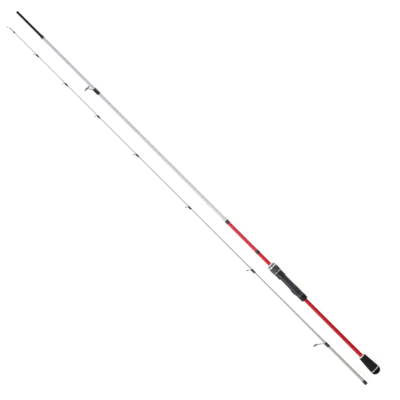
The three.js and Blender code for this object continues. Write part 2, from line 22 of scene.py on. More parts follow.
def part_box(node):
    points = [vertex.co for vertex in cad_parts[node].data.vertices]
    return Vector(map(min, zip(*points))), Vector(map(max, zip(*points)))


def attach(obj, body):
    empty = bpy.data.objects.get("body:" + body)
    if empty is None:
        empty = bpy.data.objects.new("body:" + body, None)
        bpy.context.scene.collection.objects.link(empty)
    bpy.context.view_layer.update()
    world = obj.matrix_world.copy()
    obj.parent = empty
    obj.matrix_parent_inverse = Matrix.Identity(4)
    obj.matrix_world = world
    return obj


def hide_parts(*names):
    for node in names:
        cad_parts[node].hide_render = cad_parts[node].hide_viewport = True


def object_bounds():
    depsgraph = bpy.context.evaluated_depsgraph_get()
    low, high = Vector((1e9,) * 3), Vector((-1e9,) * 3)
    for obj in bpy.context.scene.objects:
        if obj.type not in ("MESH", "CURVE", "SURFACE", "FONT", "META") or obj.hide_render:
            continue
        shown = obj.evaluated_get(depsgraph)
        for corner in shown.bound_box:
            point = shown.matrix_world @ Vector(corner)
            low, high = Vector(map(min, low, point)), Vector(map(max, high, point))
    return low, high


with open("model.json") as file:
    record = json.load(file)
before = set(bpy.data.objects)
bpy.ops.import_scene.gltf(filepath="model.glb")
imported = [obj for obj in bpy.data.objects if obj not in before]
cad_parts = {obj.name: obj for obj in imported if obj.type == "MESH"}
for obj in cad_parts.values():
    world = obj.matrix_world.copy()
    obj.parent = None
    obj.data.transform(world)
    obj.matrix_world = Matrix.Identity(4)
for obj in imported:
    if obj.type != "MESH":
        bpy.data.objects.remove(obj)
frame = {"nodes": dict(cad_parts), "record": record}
CAD_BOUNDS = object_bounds()

LOG = logging.getLogger("rod")
TAU = 2 * math.pi
MM = 0.001

# The gap where pieces are glued or pressed together, and how far apart two rings of points stand
# where a radius jumps.
GLUE = 0.2 * MM
TINY = 0.01 * MM

Array = np.ndarray
Colour = tuple[float, float, float, float]

# Radii from places along the rod and angles from the guides.
Radius = Callable[[Array, Array], Array]


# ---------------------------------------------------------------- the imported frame


class Ends(Enum):
    """How a skin over a row of rings is closed: round a bore, or by points at both ends."""

    BORE = "bore"
    POINTS = "points"


@dataclass(frozen=True)
class Axis:
    """The line that one section of the rod is built along.

    Attributes:
        y: The line's place across the floor.
        z: The line's height.
        guide: The unit direction towards the guides, as (y, z).
    """

    y: float
    z: float
    guide: tuple[float, float]

    def place(self, x: Array, up: Array, side: Array) -> Array:
        """Points of the frame from distances of one shape.

        A point is the line at x, plus up times the direction of the guides, plus side times the
        direction square to both.

        Args:
            x: Places along the rod.
            up: Distances towards the guides.
            side: Distances across the guides.

        Returns:
            The points, with one more dimension than the distances.
        """
        gy, gz = self.guide
        y = self.y + up * gy - side * gz
        z = self.z + up * gz + side * gy
        return np.stack(np.broadcast_arrays(x, y, z), axis=-1)

    def local(self, point: Vector) -> tuple[float, float]:
        """The place along the rod and the distance towards the guides of a point.

        Args:
            point: A point of the frame.

        Returns:
            The place and the distance.
        """
        gy, gz = self.guide
        return point.x, (point.y - self.y) * gy + (point.z - self.z) * gz


def middle(node: str) -> Vector:
    """The middle of a CAD node's box."""
    low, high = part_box(node)
    return (low + high) / 2


def span(node: str) -> tuple[float, float]:
    """Where a CAD node starts and ends along the rod."""
    low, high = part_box(node)
    return low.x, high.x


def reach(node: str) -> float:
    """The outer radius of a turned CAD node, as half the larger side of its box."""
    low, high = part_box(node)
    return max(high.y - low.y, high.z - low.z) / 2


def section_axis(blank: str, ring: str) -> Axis:
    """The axis of a section, from its blank and one of its guide rings.

    Args:
        blank: The CAD node that lies on the axis.
        ring: A CAD node that stands on the guides' side.

    Returns:
        The axis.
    """
    on_axis = middle(blank)
    away = middle(ring) - on_axis
    size = math.hypot(away.y, away.z)
    return Axis(on_axis.y, on_axis.z, (away.y / size, away.z / size))


# ---------------------------------------------------------------- surfaces


@dataclass(frozen=True)
class Shell:
    """One closed skin.

    Attributes:
        points: The corners, a row each.
        quads: The four-sided faces, as rows of corner numbers.
        triangles: The three-sided faces.
    """

    points: Array
    quads: Array
    triangles: Array

    def volume(self) -> float:
        """The enclosed volume, which is negative when the faces point inwards.

        It is the sum over all triangles of the product of their corners, over six.

        Returns:
            The volume.
        """
        halves = [self.triangles, self.quads[:, [0, 1, 2]], self.quads[:, [0, 2, 3]]]
        a, b, c = (self.points[np.concatenate(halves)[:, i]] for i in range(3))
        return float(np.einsum("ij,ij->", a, np.cross(b, c))) / 6

    def outward(self) -> "Shell":
        """The same skin with its faces pointing outwards.

        Returns:
            The skin, turned inside out where its volume was negative.
        """
        if self.volume() > 0:
            return self
        return Shell(self.points, self.quads[:, ::-1], self.triangles[:, ::-1])


def skin(grid: Array, ends: Ends) -> Shell:
    """A closed skin over a grid of points whose second index runs round a ring.

    Each face joins two neighbours of a ring with the two beside them on the next ring. With a
    bore, the last ring joins the first. With points, the first and the last ring shrink to their
    middles, and fans of triangles close the ends.

    Args:
        grid: The points, as rings by sides by 3.
        ends: How the row of rings is closed.

    Returns:
        The skin, with its faces pointing outwards.
    """
    bored = ends is Ends.BORE
    rings = grid if bored else grid[1:-1]
    count, sides = rings.shape[:2]
    around = np.arange(sides)
    beside = np.roll(around, -1)
    starts = np.arange(count)[:, None] * sides
    nexts = np.roll(starts, -1, axis=0)
    if not bored:
        starts, nexts = starts[:-1], nexts[:-1]
    corners = [starts + around, starts + beside, nexts + beside, nexts + around]
    quads = np.stack(np.broadcast_arrays(*corners), axis=-1).reshape(-1, 4)
    points = rings.reshape(-1, 3)
    if bored:
        return Shell(points, quads, np.zeros((0, 3), int)).outward()
    poles = np.stack([grid[0].mean(axis=0), grid[-1].mean(axis=0)])
    first = np.stack([np.full(sides, count * sides), beside, around], axis=-1)
    last_ring = (count - 1) * sides
    last = np.stack([np.full(sides, count * sides + 1), last_ring + around, last_ring + beside], axis=-1)
    return Shell(np.concatenate([points, poles]), quads, np.concatenate([first, last])).outward()


def rounded(
        profile: Sequence[tuple[float, float]], radius: float, steps: int = 5, loop: bool = True) -> Array:
    """A profile with its corners rounded.

    Each corner gives way to a parabola between two points on its sides, which lie the radius away
    or just under half a side away, whichever is nearer.

    Args:
        profile: The corners, as (x, radius) pairs.
        radius: The distance from a corner to where its rounding starts.
        steps: Points on each rounding.
        loop: Whether the last corner joins the first; otherwise the ends stay as they are.

    Returns:
        The rounded profile, a row for each point.
    """
    corners = np.array(profile, float)
    before, after = np.roll(corners, 1, axis=0), np.roll(corners, -1, axis=0)
    t = np.linspace(0, 1, steps)[None, :, None]

    def towards(other: Array) -> Array:
        """The points on each corner's side where its rounding starts.

        Args:
            other: The corners beside these, a row for each.

        Returns:
            The points, a row for each corner.
        """
        step = other - corners
        length = np.maximum(np.linalg.norm(step, axis=1, keepdims=True), 1e-9)
        return corners + step * np.minimum(radius / length, 0.48)

    start, end = towards(before)[:, None], towards(after)[:, None]
    curve = (1 - t) ** 2 * start + 2 * t * (1 - t) * corners[:, None] + t**2 * end
    if loop:
        return curve.reshape(-1, 2)
    return np.concatenate([corners[:1], curve[1:-1].reshape(-1, 2), corners[-1:]])


def turned(axis: Axis, profile: Array, ends: Ends = Ends.BORE, sides: int = 96) -> Shell:
    """A turned piece: its profile carried round the axis.

    Args:
        axis: The axis it is turned about.
        profile: The (x, radius) rows, out along the outside and back along the bore, or from
            axis to axis when there is no bore.
        ends: Whether the profile is a loop round a bore or starts and ends on the axis.
        sides: Points round the axis.

    Returns:
        The piece.
    """
    angle = np.arange(sides) * TAU / sides
    x, radius = profile[:, :1], profile[:, 1:]
    return skin(axis.place(x, radius * np.cos(angle), radius * np.sin(angle)), ends)


def shaped(axis: Axis, x: Array, radius: Radius, bore: Radius, sides: int) -> Shell:
    """A tube whose outside and bore vary along and around the axis.

    The outside is radius(x, angle) and the bore is bore(x, angle), where the angle is 0 towards
    the guides. The rings run forwards outside and back inside.

    Args:
        axis: The axis it lies on.
        x: Places of the rings.
        radius: The outer radius from places and angles.
        bore: The inner radius from places and angles.
        sides: Points round the axis.

    Returns:
        The tube.
    """
    angle = (np.arange(sides) * TAU / sides)[None, :]
    forth, back = x[:, None], x[::-1, None]
    places = np.concatenate([forth, back])
    radii = np.concatenate([radius(forth, angle) + 0 * angle, bore(back, angle) + 0 * angle])
    return skin(axis.place(places, radii * np.cos(angle), radii * np.sin(angle)), Ends.BORE)


def unit(vectors: Array) -> Array:
    """Vectors scaled to a length of one."""
    return vectors / np.linalg.norm(vectors, axis=-1, keepdims=True)


def swept(axis: Axis, path: Array, across: Array, thick: Array, flat: Array, sides: int = 20) -> Shell:
    """A bar with an oval section along a path.

    A point of a ring is the path's point, plus across times the cosine of the ring's angle along
    the direction flat, made square to the path, plus thick times the sine along the direction
    square to both. The ends shrink to points.

    Args:
        axis: The axis that the path's places refer to.
        path: Rows of (x, up, side).
        across: The section's half width at each row.
        thick: The section's half thickness at each row.
        flat: The direction that the width lies in.
        sides: Points round the section.

    Returns:
        The bar.
    """
    along = unit(np.gradient(path, axis=0))
    wide = unit(flat - np.sum(flat * along, axis=1, keepdims=True) * along)
    deep = np.cross(along, wide)
    angle = (np.arange(sides) * TAU / sides)[None, :, None]
    ring = wide[:, None] * (across[:, None, None] * np.cos(angle))
    ring = ring + deep[:, None] * (thick[:, None, None] * np.sin(angle))
    grid = path[:, None] + ring
    ends = np.broadcast_to(path[[0, -1], None], (2, sides, 3))
    grid = np.concatenate([ends[:1], grid, ends[1:]])
    return skin(axis.place(grid[..., 0], grid[..., 1], grid[..., 2]), Ends.POINTS)


def smooth_min(a: Array, b: Array, blend: float) -> Array:
    """The smaller of two arrays, with a rounded change over a width of blend."""
    share = np.clip(0.5 + 0.5 * (b - a) / blend, 0, 1)
    return b + (a - b) * share - blend * share * (1 - share)


def smooth_step(x: Array, start: float, end: float) -> Array:
    """0 before start, 1 after end, and a smooth cubic rise between them."""
    share = np.clip((x - start) / (end - start), 0, 1)
    return share * share * (3 - 2 * share)


def quarter_round(inset: Array, width: float) -> Array:
    """0 at an edge and 1 from a width inside it, along a quarter of an ellipse."""
    return np.sqrt(1 - (1 - np.clip(inset / width, 0, 1)) ** 2)


def bell(x: Array, peak: float, width: float) -> Array:
    """A bell of height 1: e to the power of minus the square of the distance over the width."""
    return np.exp(-(((x - peak) / width) ** 2))


def crowded(start: float, end: float, count: int) -> Array:
    """Places from start to end that crowd towards both, as the cosine of equal steps of an angle."""
    return start + (end - start) * (0.5 - 0.5 * np.cos(np.linspace(0, math.pi, count)))


def joined(name: str, shells: Sequence[Shell], crease: float) -> bpy.types.Mesh:
    """One mesh from several skins, smooth but for its sharp edges.

    Args:
        name: The mesh's name.
        shells: The skins.
        crease: The angle in degrees past which an edge stays sharp.

    Returns:
        The mesh.
    """
    starts = np.cumsum([0] + [len(shell.points) for shell in shells])
    faces: list[list[int]] = []
    for shell, start in zip(shells, starts):
        faces += (shell.quads + start).tolist() + (shell.triangles + start).tolist()
    mesh = bpy.data.meshes.new(name)
    mesh.from_pydata(np.concatenate([shell.points for shell in shells]).tolist(), [], faces)
    mesh.validate()
    mesh.shade_smooth()
    mesh.set_sharp_from_angle(angle=math.radians(crease))
    return mesh


def cut(piece: bpy.types.Object, cutters: Sequence[Shell], crease: float) -> None:
    """Takes solid shapes out of a piece and applies the result.

    Args:
        piece: The piece to cut.
        cutters: The shapes to take out.
        crease: The angle in degrees past which an edge stays sharp.
    """
    tool = bpy.data.objects.new("cutter", joined("cutter", cutters, crease))
    bpy.context.scene.collection.objects.link(tool)
    modifier = piece.modifiers.new("cut", "BOOLEAN")
    modifier.operation, modifier.solver, modifier.object = "DIFFERENCE", "EXACT", tool
    depsgraph = bpy.context.evaluated_depsgraph_get()
    result = bpy.data.meshes.new_from_object(piece.evaluated_get(depsgraph))
    piece.modifiers.clear()
    piece.data = result
    result.shade_smooth()
    result.set_sharp_from_angle(angle=math.radians(crease))
    bpy.data.objects.remove(tool)


# ---------------------------------------------------------------- shader maths


def srgb(red: int, green: int, blue: int) -> Colour:
    """A colour given as screen values of 0 to 255, in linear light.

    Args:
        red: The red.
        green: The green.
        blue: The blue.

    Returns:
        The colour.
    """

    def light(value: int) -> float:
        """One screen value in linear light."""
        share = value / 255
        return share / 12.92 if share <= 0.04045 else ((share + 0.055) / 1.055) ** 2.4

    return light(red), light(green), light(blue), 1.0


def grey(level: float) -> Colour:
    """A neutral colour in linear light."""
    return level, level, level, 1.0


class Graph:
    """The node tree of one material, with a principled shader on its output."""

    def __init__(self, name: str) -> None:
        """An empty tree in a new material of that name.

        Args:
            name: The material's name.
        """
        self.material = bpy.data.materials.new(name)
        self.material.use_nodes = True
        self.tree = self.material.node_tree
        self.tree.nodes.clear()
        self.coordinates = self.add("ShaderNodeTexCoord").outputs["Object"]

    def add(self, kind: str, settings: dict | None = None, inputs: dict | None = None) -> bpy.types.Node:
        """A node of a kind, with its settings made first and its inputs then set or linked.

        Args:
            kind: The node's type.
            settings: Values of the node's own properties.
            inputs: Values, sockets or Numbers by the input's name or number.

        Returns:
            The node.
        """
        node = self.tree.nodes.new(kind)
        for name, value in (settings or {}).items():
            setattr(node, name, value)
        for key, value in (inputs or {}).items():
            source = value.socket if isinstance(value, Number) else value
            if isinstance(source, bpy.types.NodeSocket):
                self.tree.links.new(source, node.inputs[key])
            else:
                node.inputs[key].default_value = source
        return node

    def along(self) -> "Number":
        """The place along the rod."""
        split = self.add("ShaderNodeSeparateXYZ", inputs={0: self.coordinates})
        return Number(self, split.outputs["X"])

    def noise(
            self, scale: float, detail: float,
            stretch: tuple[float, float, float] = (1, 1, 1)) -> "Number":
        """Soft noise from 0 to 1.

        Args:
            scale: Blobs for each metre.
            detail: Octaves of finer noise.
            stretch: Scales along the three directions, before the noise.

        Returns:
            The noise.
        """
        mapped = self.add("ShaderNodeMapping", inputs={"Vector": self.coordinates, "Scale": stretch})
        node = self.add("ShaderNodeTexNoise", inputs={
            "Vector": mapped.outputs[0], "Scale": scale, "Detail": detail})
        return Number(self, node.outputs["Fac"])

    def cells(self, scale: float) -> "Number":
        """Distance to the nearest of a scatter of points, for pores and flakes."""
        node = self.add("ShaderNodeTexVoronoi", inputs={"Vector": self.coordinates, "Scale": scale})
        return Number(self, node.outputs["Distance"])

    def blend(
            self, share: "Number", first: object, second: object,
            kind: str = "MIX") -> bpy.types.NodeSocket:
        """A colour between two colours or colour sockets.

        Args:
            share: How much of the second colour there is, from 0 to 1.
            first: The first colour.
            second: The second colour.
            kind: The way in which the second one is laid over the first.

        Returns:
            The colour's socket.
        """
        settings = {"data_type": "RGBA", "blend_type": kind}
        return self.add("ShaderNodeMix", settings, {0: share, 6: first, 7: second}).outputs[2]

    def bump(self, height: "Number", distance: float, strength: float) -> bpy.types.NodeSocket:
        """A normal tilted by a height from 0 to 1 that stands for a distance.

        Args:
            height: The height.
            distance: The distance that a height of 1 stands for.
            strength: How much of the tilt is kept.

        Returns:
            The normal.
        """
        node = self.add("ShaderNodeBump", inputs={
            "Height": height, "Distance": distance, "Strength": strength})
        return node.outputs["Normal"]

    def surface(self, **inputs: object) -> bpy.types.Material:
        """Puts a principled shader on the output, its inputs named with _ for a space.

        Args:
            **inputs: Values, sockets or Numbers.

        Returns:
            The finished material.
        """
        named = {name.replace("_", " "): value for name, value in inputs.items()}
        shader = self.add("ShaderNodeBsdfPrincipled", inputs=named)
        self.add("ShaderNodeOutputMaterial", inputs={"Surface": shader.outputs[0]})
        return self.material


class Number:
    """One number that varies over a surface. Arithmetic on it adds Math nodes."""

    def __init__(self, graph: Graph, socket: bpy.types.NodeSocket) -> None:
        """A number that a socket of the graph gives."""
        self.graph = graph
        self.socket = socket

    def _math(self, operation: str, first: object, second: object) -> "Number":
        """A Math node on two numbers or values, in order."""
        node = self.graph.add("ShaderNodeMath", {"operation": operation}, {0: first, 1: second})
        return Number(self.graph, node.outputs[0])

    def __add__(self, other: object) -> "Number":
        """The sum."""
        return self._math("ADD", self, other)

    __radd__ = __add__

    def __sub__(self, other: object) -> "Number":
        """The difference."""
        return self._math("SUBTRACT", self, other)

    def __rsub__(self, other: object) -> "Number":
        """The difference from a value."""
        return self._math("SUBTRACT", other, self)

    def __mul__(self, other: object) -> "Number":
        """The product."""
        return self._math("MULTIPLY", self, other)

    __rmul__ = __mul__

    def rise(self, start: float, end: float) -> "Number":
        """0 up to start, 1 from end on, and straight between them.

        Args:
            start: Where the rise starts.
            end: Where it ends.

        Returns:
            The rise.
        """
        node = self.graph.add("ShaderNodeMapRange", {"clamp": True}, {
            "Value": self, "From Min": start, "From Max": end, "To Min": 0.0, "To Max": 1.0})
        return Number(self.graph, node.outputs[0])

    def within(self, start: float, end: float, soft: float = 0.05 * MM) -> "Number":
        """1 between two values and 0 outside them."""
        return self.rise(start - soft, start + soft) * (1 - self.rise(end - soft, end + soft))


# ---------------------------------------------------------------- finishes


class Finish(Protocol):
    """What every finish has. Scales in the finishes are blobs or cells for each metre."""

    name: str

    def material(self) -> bpy.types.Material:
        """The finish as a material."""


@dataclass(frozen=True)
class Stripe:
    """A stretch of one colour along the rod."""

    start: float
    end: float
    colour: Colour


@dataclass(frozen=True)
class Lacquer:
    """Lacquer under clear coat, in stripes along a blank.

    The colour is the ground colour, which turns into each fade's colour between its two places,
    then each stripe's colour between its two places. Long faint streaks and fine flakes make it
    a little darker and lighter.
    """

    name: str
    ground: Colour
    stripes: tuple[Stripe, ...] = ()
    fades: tuple[Stripe, ...] = ()
    streak_scale: float = 260
    flake_scale: float = 3800
    darkening: float = 0.1
    dark: Colour = (0.35, 0.35, 0.4, 1.0)
    coat: float = 0.12
    roughness: float = 0.32

    def material(self) -> bpy.types.Material:
        """The lacquer as a material.

        Returns:
            The material.
        """
        graph = Graph(self.name)
        along = graph.along()
        colour: object = self.ground
        for fade in self.fades:
            colour = graph.blend(along.rise(fade.start, fade.end), colour, fade.colour)
        for stripe in self.stripes:
            colour = graph.blend(along.within(stripe.start, stripe.end), colour, stripe.colour)
        streaks = graph.noise(self.streak_scale, 3, (0.12, 1, 1))
        flakes = graph.cells(self.flake_scale)
        shade = (streaks.rise(0.3, 0.75) * 0.6 + flakes.rise(0.1, 0.7) * 0.4) * self.darkening
        return graph.surface(
            Base_Color=graph.blend(shade, colour, self.dark, "MULTIPLY"),
            Roughness=self.roughness + 0.1 * streaks,
            Coat_Weight=self.coat, Coat_Roughness=0.1, Specular_IOR_Level=0.12,
            Normal=graph.bump(streaks, 0.002 * MM, 0.2))


@dataclass(frozen=True)
class Thread:
    """Thread under varnish that hides the single windings, with a band of a second colour.

    The varnish lies a little uneven, which noise gives to its gloss and its height.
    """

    name: str
    colour: Colour
    trim: Stripe | None = None
    gloss_floor: float = 0.12
    uneven_scale: float = 900

    def material(self) -> bpy.types.Material:
        """The varnished thread as a material.

        Returns:
            The material.
        """
        graph = Graph(self.name)
        uneven = graph.noise(self.uneven_scale, 2)
        colour: object = self.colour
        if self.trim is not None:
            banded = graph.along().within(self.trim.start, self.trim.end)
            colour = graph.blend(banded, colour, self.trim.colour)
        return graph.surface(
            Base_Color=colour, Roughness=self.gloss_floor + 0.15 * uneven,
            Coat_Weight=0.35, Coat_Roughness=0.05, Specular_IOR_Level=0.25,
            Normal=graph.bump(uneven, 0.02 * MM, 0.6))


@dataclass(frozen=True)
class Moulded:
    """Satin moulded plastic: a cloudy ground with fine specks, and a slight orange-peel surface."""

    name: str
    colour: Colour
    cloud: Colour
    speck: Colour
    roughness: float
    gloss: float
    grain_scale: float = 2600
    cloud_scale: float = 160

    def material(self) -> bpy.types.Material:
        """The plastic as a material.

        Returns:
            The material.
        """
        graph = Graph(self.name)
        clouds = graph.noise(self.cloud_scale, 4)
        grain = graph.noise(self.grain_scale, 2)
        ground = graph.blend(clouds.rise(0.35, 0.7), self.colour, self.cloud)
        colour = graph.blend(grain.rise(0.6, 0.75) * 0.5, ground, self.speck)
        return graph.surface(
            Base_Color=colour, Roughness=self.roughness + 0.18 * (clouds - 0.5),
            Specular_IOR_Level=self.gloss, Normal=graph.bump(grain, 0.02 * MM, 0.4))


@dataclass(frozen=True)
class Metal:
    """Turned metal: fine tool lines round the piece and a faint cloud of handling marks."""

    name: str
    colour: Colour
    shade: Colour
    roughness: float
    metallic: float = 1.0
    line_scale: float = 9000
    mark_scale: float = 420

    def material(self) -> bpy.types.Material:
        """The metal as a material.

        Returns:
            The material.
        """
        graph = Graph(self.name)
        lines = graph.noise(self.line_scale, 1, (1, 0.01, 0.01))
        marks = graph.noise(self.mark_scale, 3)
        colour = graph.blend(lines * 0.5 + marks.rise(0.4, 0.8) * 0.5, self.colour, self.shade)
        return graph.surface(
            Base_Color=colour, Metallic=self.metallic,
            Roughness=self.roughness + 0.12 * marks + 0.08 * lines,
            Normal=graph.bump(lines, 0.01 * MM, 0.4))


@dataclass(frozen=True)
class Foam:
    """Closed-cell foam: open pores in a dull ground, over soft swells left by the grinding."""

    name: str
    colour: Colour
    pore: Colour
    worn: Colour
    pore_scale: float = 1500
    fine_scale: float = 5200
    swell_scale: float = 130

    def material(self) -> bpy.types.Material:
        """The foam as a material.

        Returns:
            The material.
        """
        graph = Graph(self.name)
        pore = graph.cells(self.pore_scale)
        fine = graph.noise(self.fine_scale, 3)
        swell = graph.noise(self.swell_scale, 3)
        ground = graph.blend(swell.rise(0.35, 0.75) * 0.6, self.colour, self.worn)
        colour = graph.blend((1 - pore.rise(0.05, 0.35)) * 0.8, ground, self.pore)
        return graph.surface(
            Base_Color=colour, Roughness=0.82 + 0.12 * fine, Specular_IOR_Level=0.25,
            Normal=graph.bump(pore.rise(0, 0.5) * 0.6 + fine * 0.4, 0.16 * MM, 0.7))


@dataclass(frozen=True)
class Glazed:
    """Polished ceramic: near black with a faint cloud, and a sharp reflection."""

    name: str
    colour: Colour
    cloud: Colour
    cloud_scale: float = 900

    def material(self) -> bpy.types.Material:
        """The ceramic as a material.

        Returns:
            The material.
        """
        graph = Graph(self.name)
        clouds = graph.noise(self.cloud_scale, 3)
        return graph.surface(
            Base_Color=graph.blend(clouds.rise(0.35, 0.7), self.colour, self.cloud),
            Roughness=0.08 + 0.08 * clouds, Coat_Weight=0.5, Coat_Roughness=0.03,
            Normal=graph.bump(clouds, 0.005 * MM, 0.3))


@dataclass(frozen=True)
class Cork:
    """Pressed cork: warm grains with darker seams and pits."""

    name: str
    colour: Colour
    grain: Colour
    pit: Colour
    grain_scale: float = 700
    pit_scale: float = 1900

    def material(self) -> bpy.types.Material:
        """The cork as a material.

        Returns:
            The material.
        """
        graph = Graph(self.name)
        grains = graph.cells(self.grain_scale)
        pits = graph.noise(self.pit_scale, 4)
        colour = graph.blend(grains.rise(0.2, 0.9), self.colour, self.grain)
        return graph.surface(
            Base_Color=graph.blend(pits.rise(0.58, 0.68), colour, self.pit),
            Roughness=0.8 + 0.15 * pits, Normal=graph.bump(pits, 0.2 * MM, 0.6))


@dataclass(frozen=True)
class Backdrop:
    """A pale matt floor with a very faint mottling, which gives back a little light of its own."""

    name: str
    colour: Colour
    mottle: Colour
    glow: float
    mottle_scale: float = 3

    def material(self) -> bpy.types.Material:
        """The floor as a material.

        Returns:
            The material.
        """
        graph = Graph(self.name)
        mottling = graph.noise(self.mottle_scale, 2)
        return graph.surface(
            Base_Color=graph.blend(mottling, self.colour, self.mottle), Roughness=0.9,
            Specular_IOR_Level=0.1, Emission_Color=grey(1), Emission_Strength=self.glow)


# The three thread colours below have a painted glint of the varnish on the windings mixed in evenly, which
# makes them lighter than the bare thread.
GLINTED_BLACK_THREAD = srgb(35, 32, 35)
GLINTED_PALE_THREAD = srgb(222, 217, 220)
GLINTED_MAROON = srgb(76, 22, 29)
RED_REAR = srgb(202, 8, 30)
RED_FRONT = srgb(224, 56, 70)
RED_BRIGHT = srgb(224, 28, 46)
SILVER_REAR = srgb(230, 230, 231)
SILVER_FRONT = srgb(209, 213, 220)
FERRULE_BLACK = srgb(40, 38, 39)
GLASS_SOCKET = srgb(194, 194, 187)
GLASS_REAR = srgb(204, 204, 203)
GLASS_MIDDLE = srgb(182, 182, 182)
GLASS_TIP = srgb(132, 132, 133)

GRAPHITE = Moulded(
    "seat_graphite", srgb(42, 41, 50), srgb(50, 48, 55), srgb(76, 74, 86), roughness=0.4, gloss=0.32)
NUT_GRAPHITE = Moulded(
    "nut_graphite", srgb(56, 53, 55), srgb(64, 61, 62), srgb(94, 90, 94), roughness=0.3, gloss=0.4)
HOOD_GRAPHITE = Moulded(
    "hood_graphite", srgb(25, 24, 25), srgb(32, 30, 30), srgb(52, 49, 52), roughness=0.28, gloss=0.32)
SEAT_RUBBER = Moulded(
    "seat_rubber", srgb(19, 17, 17), srgb(24, 22, 22), srgb(42, 39, 38),
    roughness=0.42, gloss=0.2, grain_scale=3400)
CAP_RUBBER = Moulded(
    "cap_rubber", srgb(13, 11, 9), srgb(17, 15, 12), srgb(30, 27, 24),
    roughness=0.66, gloss=0.05, grain_scale=3400)
BRIGHT = Metal("bright_ring", srgb(236, 234, 230), srgb(206, 204, 202), roughness=0.36, metallic=0.45)
SATIN = Metal("satin_ring", srgb(208, 206, 202), srgb(176, 174, 172), roughness=0.4, metallic=0.5)
DULL = Metal("dull_ring", srgb(138, 133, 136), srgb(112, 107, 110), roughness=0.36, metallic=0.45)
SMOKED = Metal("smoked_ring", srgb(118, 112, 118), srgb(86, 80, 86), roughness=0.36, metallic=0.6)
GUIDE_STEEL = Metal("guide_steel", srgb(134, 134, 138), srgb(98, 98, 102), roughness=0.24)
TIP_STEEL = Metal("tip_steel", srgb(196, 196, 198), srgb(160, 160, 162), roughness=0.3, metallic=0.8)
CERAMIC = Glazed("guide_ceramic", srgb(52, 54, 60), srgb(70, 73, 80))
FOAM = Foam("grip_foam", srgb(25, 23, 20), srgb(11, 10, 9), srgb(35, 33, 30))
CORK = Cork("arbor_cork", srgb(178, 136, 88), srgb(204, 166, 116), srgb(86, 56, 34))


# ---------------------------------------------------------------- pieces


class Workshop:
    """Makes pieces, dresses them and ties each to the CAD node that it stands for."""

    def __init__(self, record: dict) -> None:
        """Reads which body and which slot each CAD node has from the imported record.

        Args:
            record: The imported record.
        """
        bodies = record["behaviour"]["bodies"]
        self.bodies = {node: body for body, nodes in bodies.items() for node in nodes}
        self.slots = {part["node"]: part["material_slot"] for part in record["subparts"]}
        self.finishes: dict[str, bpy.types.Material] = {}

    def dressed(self, finish: Finish) -> bpy.types.Material:
        """The material of a finish, made the first time that it is asked for.

        Args:
            finish: The finish.

        Returns:
            The material.
        """
        if finish.name not in self.finishes:
            self.finishes[finish.name] = finish.material()
        return self.finishes[finish.name]

    def make(
            self, node: str, shells: Sequence[Shell], finish: Finish,
            crease: float = 38) -> bpy.types.Object:
        """A piece that stands for a CAD node and rides on its body.

        Args:
            node: The CAD node.
            shells: The piece's skins.
            finish: What it is finished in.
            crease: The angle in degrees past which an edge stays sharp.

        Returns:
            The piece.
        """
        name = f"{node}_piece"
        piece = bpy.data.objects.new(name, joined(name, shells, crease))
        bpy.context.scene.collection.objects.link(piece)
        piece.data.materials.append(self.dressed(finish))
        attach(piece, self.bodies[node])
        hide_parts(node)
        LOG.info("%s: %d faces", name, len(piece.data.polygons))
        return piece

    def redress(self, node: str, finish: Finish) -> None:
        """Gives a CAD node that stays a better finish.

        Args:
            node: The CAD node.
            finish: What it is finished in.
        """
        for slot in frame["nodes"][node].material_slots:
            slot.material = self.dressed(finish)
        LOG.info("%s: kept, in %s", node, finish.name)


@dataclass(frozen=True)
class Taper:
    """The outer radius of a blank along the rod, straight between stations.

    Attributes:
        start: Where the blank's first station is along the rod.
        stations: Pairs of a distance from there and a radius.
    """

    start: float
    stations: tuple[tuple[float, float], ...]

    def radius(self, x: Array | float) -> Array:
        """The outer radius at places along the rod."""
        at, radii = np.array(self.stations).T
        return np.interp(x, self.start + at, radii)


@dataclass(frozen=True)
class ButtBlank:
    """The butt section's tube with its male ferrule, lacquered in stripes."""

    axis: Axis
    shoulder: float
    thick: float = 5.15 * MM
    ferrule: float = 3.3 * MM
    ferrule_end: float = 3.15 * MM
    step: float = 0.4 * MM
    cone: float = 1 * MM
    wall: float = 1 * MM

    def taper(self) -> Taper:
        """The tube's outside behind its shoulder."""
        start = CAD_BOUNDS[0][0]
        return Taper(start, ((0, self.thick), (self.shoulder - start, self.ferrule + self.step)))

    def build(self, shop: Workshop) -> None:
        """Makes the tube: straight taper, cone, ferrule with a rounded end, and the bore.

        Args:
            shop: The workshop that makes the pieces.
        """
        start, end = span("butt_blank")
        taper = self.taper()
        cone = self.shoulder - self.cone
        outside = np.linspace(start, cone, 60)
        profile = [(x, float(taper.radius(x))) for x in outside]
        profile += [(self.shoulder, self.ferrule), (end, self.ferrule_end)]
        profile += [(end, self.ferrule_end - self.wall), (self.shoulder, self.ferrule - self.wall)]
        profile += [(start, float(taper.radius(start)) - self.wall)]
        shell = turned(self.axis, rounded(profile, 0.4 * MM))
        shop.make("butt_blank", [shell], self.finish())

    def finish(self) -> Lacquer:
        """Black ferrule, silver front half that cools forwards, and three reds behind the bands.

        Returns:
            The lacquer.
        """
        start, end = span("butt_blank")
        check = span("winding_check")[0]
        rear_trim = span("rear_trim_wrap")[1]
        front_trim = span("front_trim_wrap")[1]
        return Lacquer("butt_lacquer", SILVER_REAR, (
            Stripe(start - MM, check, RED_REAR),
            Stripe(check, rear_trim, RED_BRIGHT),
            Stripe(rear_trim, front_trim, RED_FRONT),
            Stripe(self.shoulder - self.cone, end + MM, FERRULE_BLACK),
        ), (Stripe(front_trim, self.shoulder - self.cone, SILVER_FRONT),))


